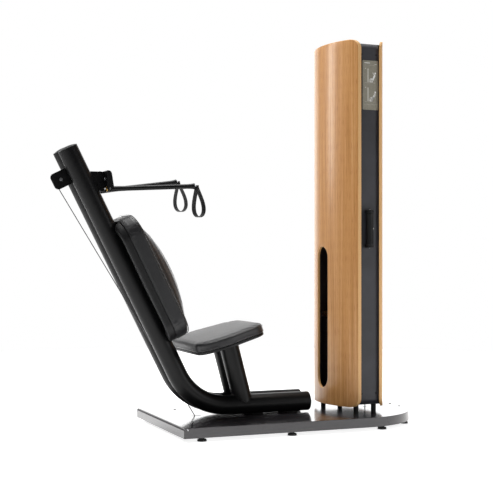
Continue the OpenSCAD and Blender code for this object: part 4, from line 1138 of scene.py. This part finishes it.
piece("pictogram_white", white, "white_screen_print", sharp=30)
piece("pictogram_grey", grey, "grey_screen_print", sharp=30)
print("strokes", len(white), "white", len(grey), "grey")

# %% [markdown]
# ## The weight selector
# A ribbed drum turns between two lugs on the tower's side. Its grip has shallow upright flutes, and a small
# white chevron points at the chosen weight.

# %% Selector drum, pointer and screws
DRUM_BORE, FLUTES, FLUTE_DEEP, GRIP_INSET = 4.2, 24, 0.5, 10
drum_low, drum_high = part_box("selector_drum")
eased("selector_lugs", "satin_moulded_plastic", 2.0)
drum_centre = np.array([(drum_low[0] + drum_high[0]) / 2, (drum_low[1] + drum_high[1]) / 2, drum_low[2]])
drum_tall, drum_radius = (drum_high[2] - drum_low[2]) / MM, (drum_high[0] - drum_low[0]) / 2 / MM
turn = np.linspace(0, 2 * math.pi, 144, endpoint=False)
flute = FLUTE_DEEP * (0.5 + 0.5 * np.cos(turn * FLUTES)) ** 2
foot_levels = np.array([[0, drum_radius - DRUM_BORE], [0, 2], [0.6, 0.7], [2, 0.1], [6, 0], [8, 0],
                        [GRIP_INSET, 0]])
levels = np.concatenate([foot_levels, foot_levels[::-1]])
levels[:, 1] = drum_radius - levels[:, 1]
levels[len(foot_levels):, 0] = drum_tall - levels[len(foot_levels):, 0]
fluted = (levels[:, :1] >= GRIP_INSET) & (levels[:, :1] <= drum_tall - GRIP_INSET)
wall = levels[:, 1:] - fluted * flute[None]
drum = np.stack([wall * np.cos(turn), wall * np.sin(turn), np.broadcast_to(levels[:, :1], wall.shape)], axis=-1)
drum *= MM
piece("fluted_drum", [skin(drum + drum_centre, along=True)], "satin_moulded_plastic", body="selector",
      stands_for=("selector_drum",), sharp=50)

CHEVRON_GAP, CHEVRON_HALF, CHEVRON_RISE, CHEVRON_THICK, CHEVRON_TALL = 5, 3, 6, 2.2, 14
chevron_x = drum_centre[0] / MM + drum_radius + CHEVRON_GAP
chevron_z = (drum_centre[2] + drum_tall * MM * 0.51) / MM
face_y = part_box("tower_body")[0][1]


def bar(start, stop):
    """A short raised bar on the tower's side from start to stop, given as x and z in millimetres."""
    start, stop = np.array(start, float), np.array(stop, float)
    along = unit(stop - start)
    across = np.array([-along[1], along[0]]) * CHEVRON_THICK / 2
    outline = np.array([start - across, stop - across, stop + across, start + across])
    y = np.array([face_y, face_y - CHEVRON_TALL * MM])[:, None]
    return skin(np.stack(np.broadcast_arrays(outline[None, :, 0] * MM, y, outline[None, :, 1] * MM), axis=-1))


tip = (chevron_x + CHEVRON_HALF, chevron_z)
piece("chevron_pointer", [bar((chevron_x - CHEVRON_HALF, chevron_z + CHEVRON_RISE), tip),
                          bar(tip, (chevron_x - CHEVRON_HALF, chevron_z - CHEVRON_RISE))],
      "white_screen_print", bevel=0.4)


def socket_screw(place, way, radius, tall):
    """Button head with a socket: the head's profile is turned, so its recess is round, and it goes half way in.
    """
    inner = radius * 0.42
    profile = [[0, tall * 0.4], [inner, tall * 0.4], [inner, tall * 0.95], [radius * 0.62, tall],
               [radius * 0.86, tall * 0.8], [radius, tall * 0.35], [radius, 0], [0, 0]]
    return skin(turned(profile, place, way, 24), ends=False)


DECK_SCREWS = ((168, 261), (168, -261), (1318, 50), (1318, -50))
BODY_MIDDLE, BODY_HALF, BODY_SCREW_HEIGHTS = 1037.5, 235, (100, 1815)
screws = [socket_screw(deck(x, y, 0), (0, 0, 1), 6, 2) for x, y in DECK_SCREWS]
screws += [socket_screw(deck(BODY_MIDDLE + x, side * BODY_HALF, z), (0, side, 0), 5, 2)
           for x in (-40, 40) for side, _ in SIDES for z in BODY_SCREW_HEIGHTS]
piece("socket_screws", screws, "blackened_steel", stands_for=("small_screws",), sharp=35)
print("screws", len(screws))

# %% [markdown]
# ## Everything that stays as engineered
# Sheaves, pins and hidden fittings keep their engineering shapes and only need a finish.

# %% Finishes for the remaining parts
KEPT = {
    "turned_steel": ["rear_sheaves", "turn_sheave_pins", "turn_sheave_near", "turn_sheave_far",
                     "drop_sheave_bolts", "drop_sheave_near", "drop_sheave_far", "arm_pivot_pins",
                     "sheave_pins", "base_sheaves", "tower_foot_sheaves", "tower_top_sheaves", "selector_pins",
                     "pull_cable_near", "pull_cable_far"],
    "turned_brass": ["arm_bushes"],
}
for finish, names in KEPT.items():
    for name in names:
        mesh = nodes[name].data
        mesh.materials.clear()
        mesh.materials.append(finishes[finish])
print("kept", sum(len(names) for names in KEPT.values()), "made", len(made_pieces))
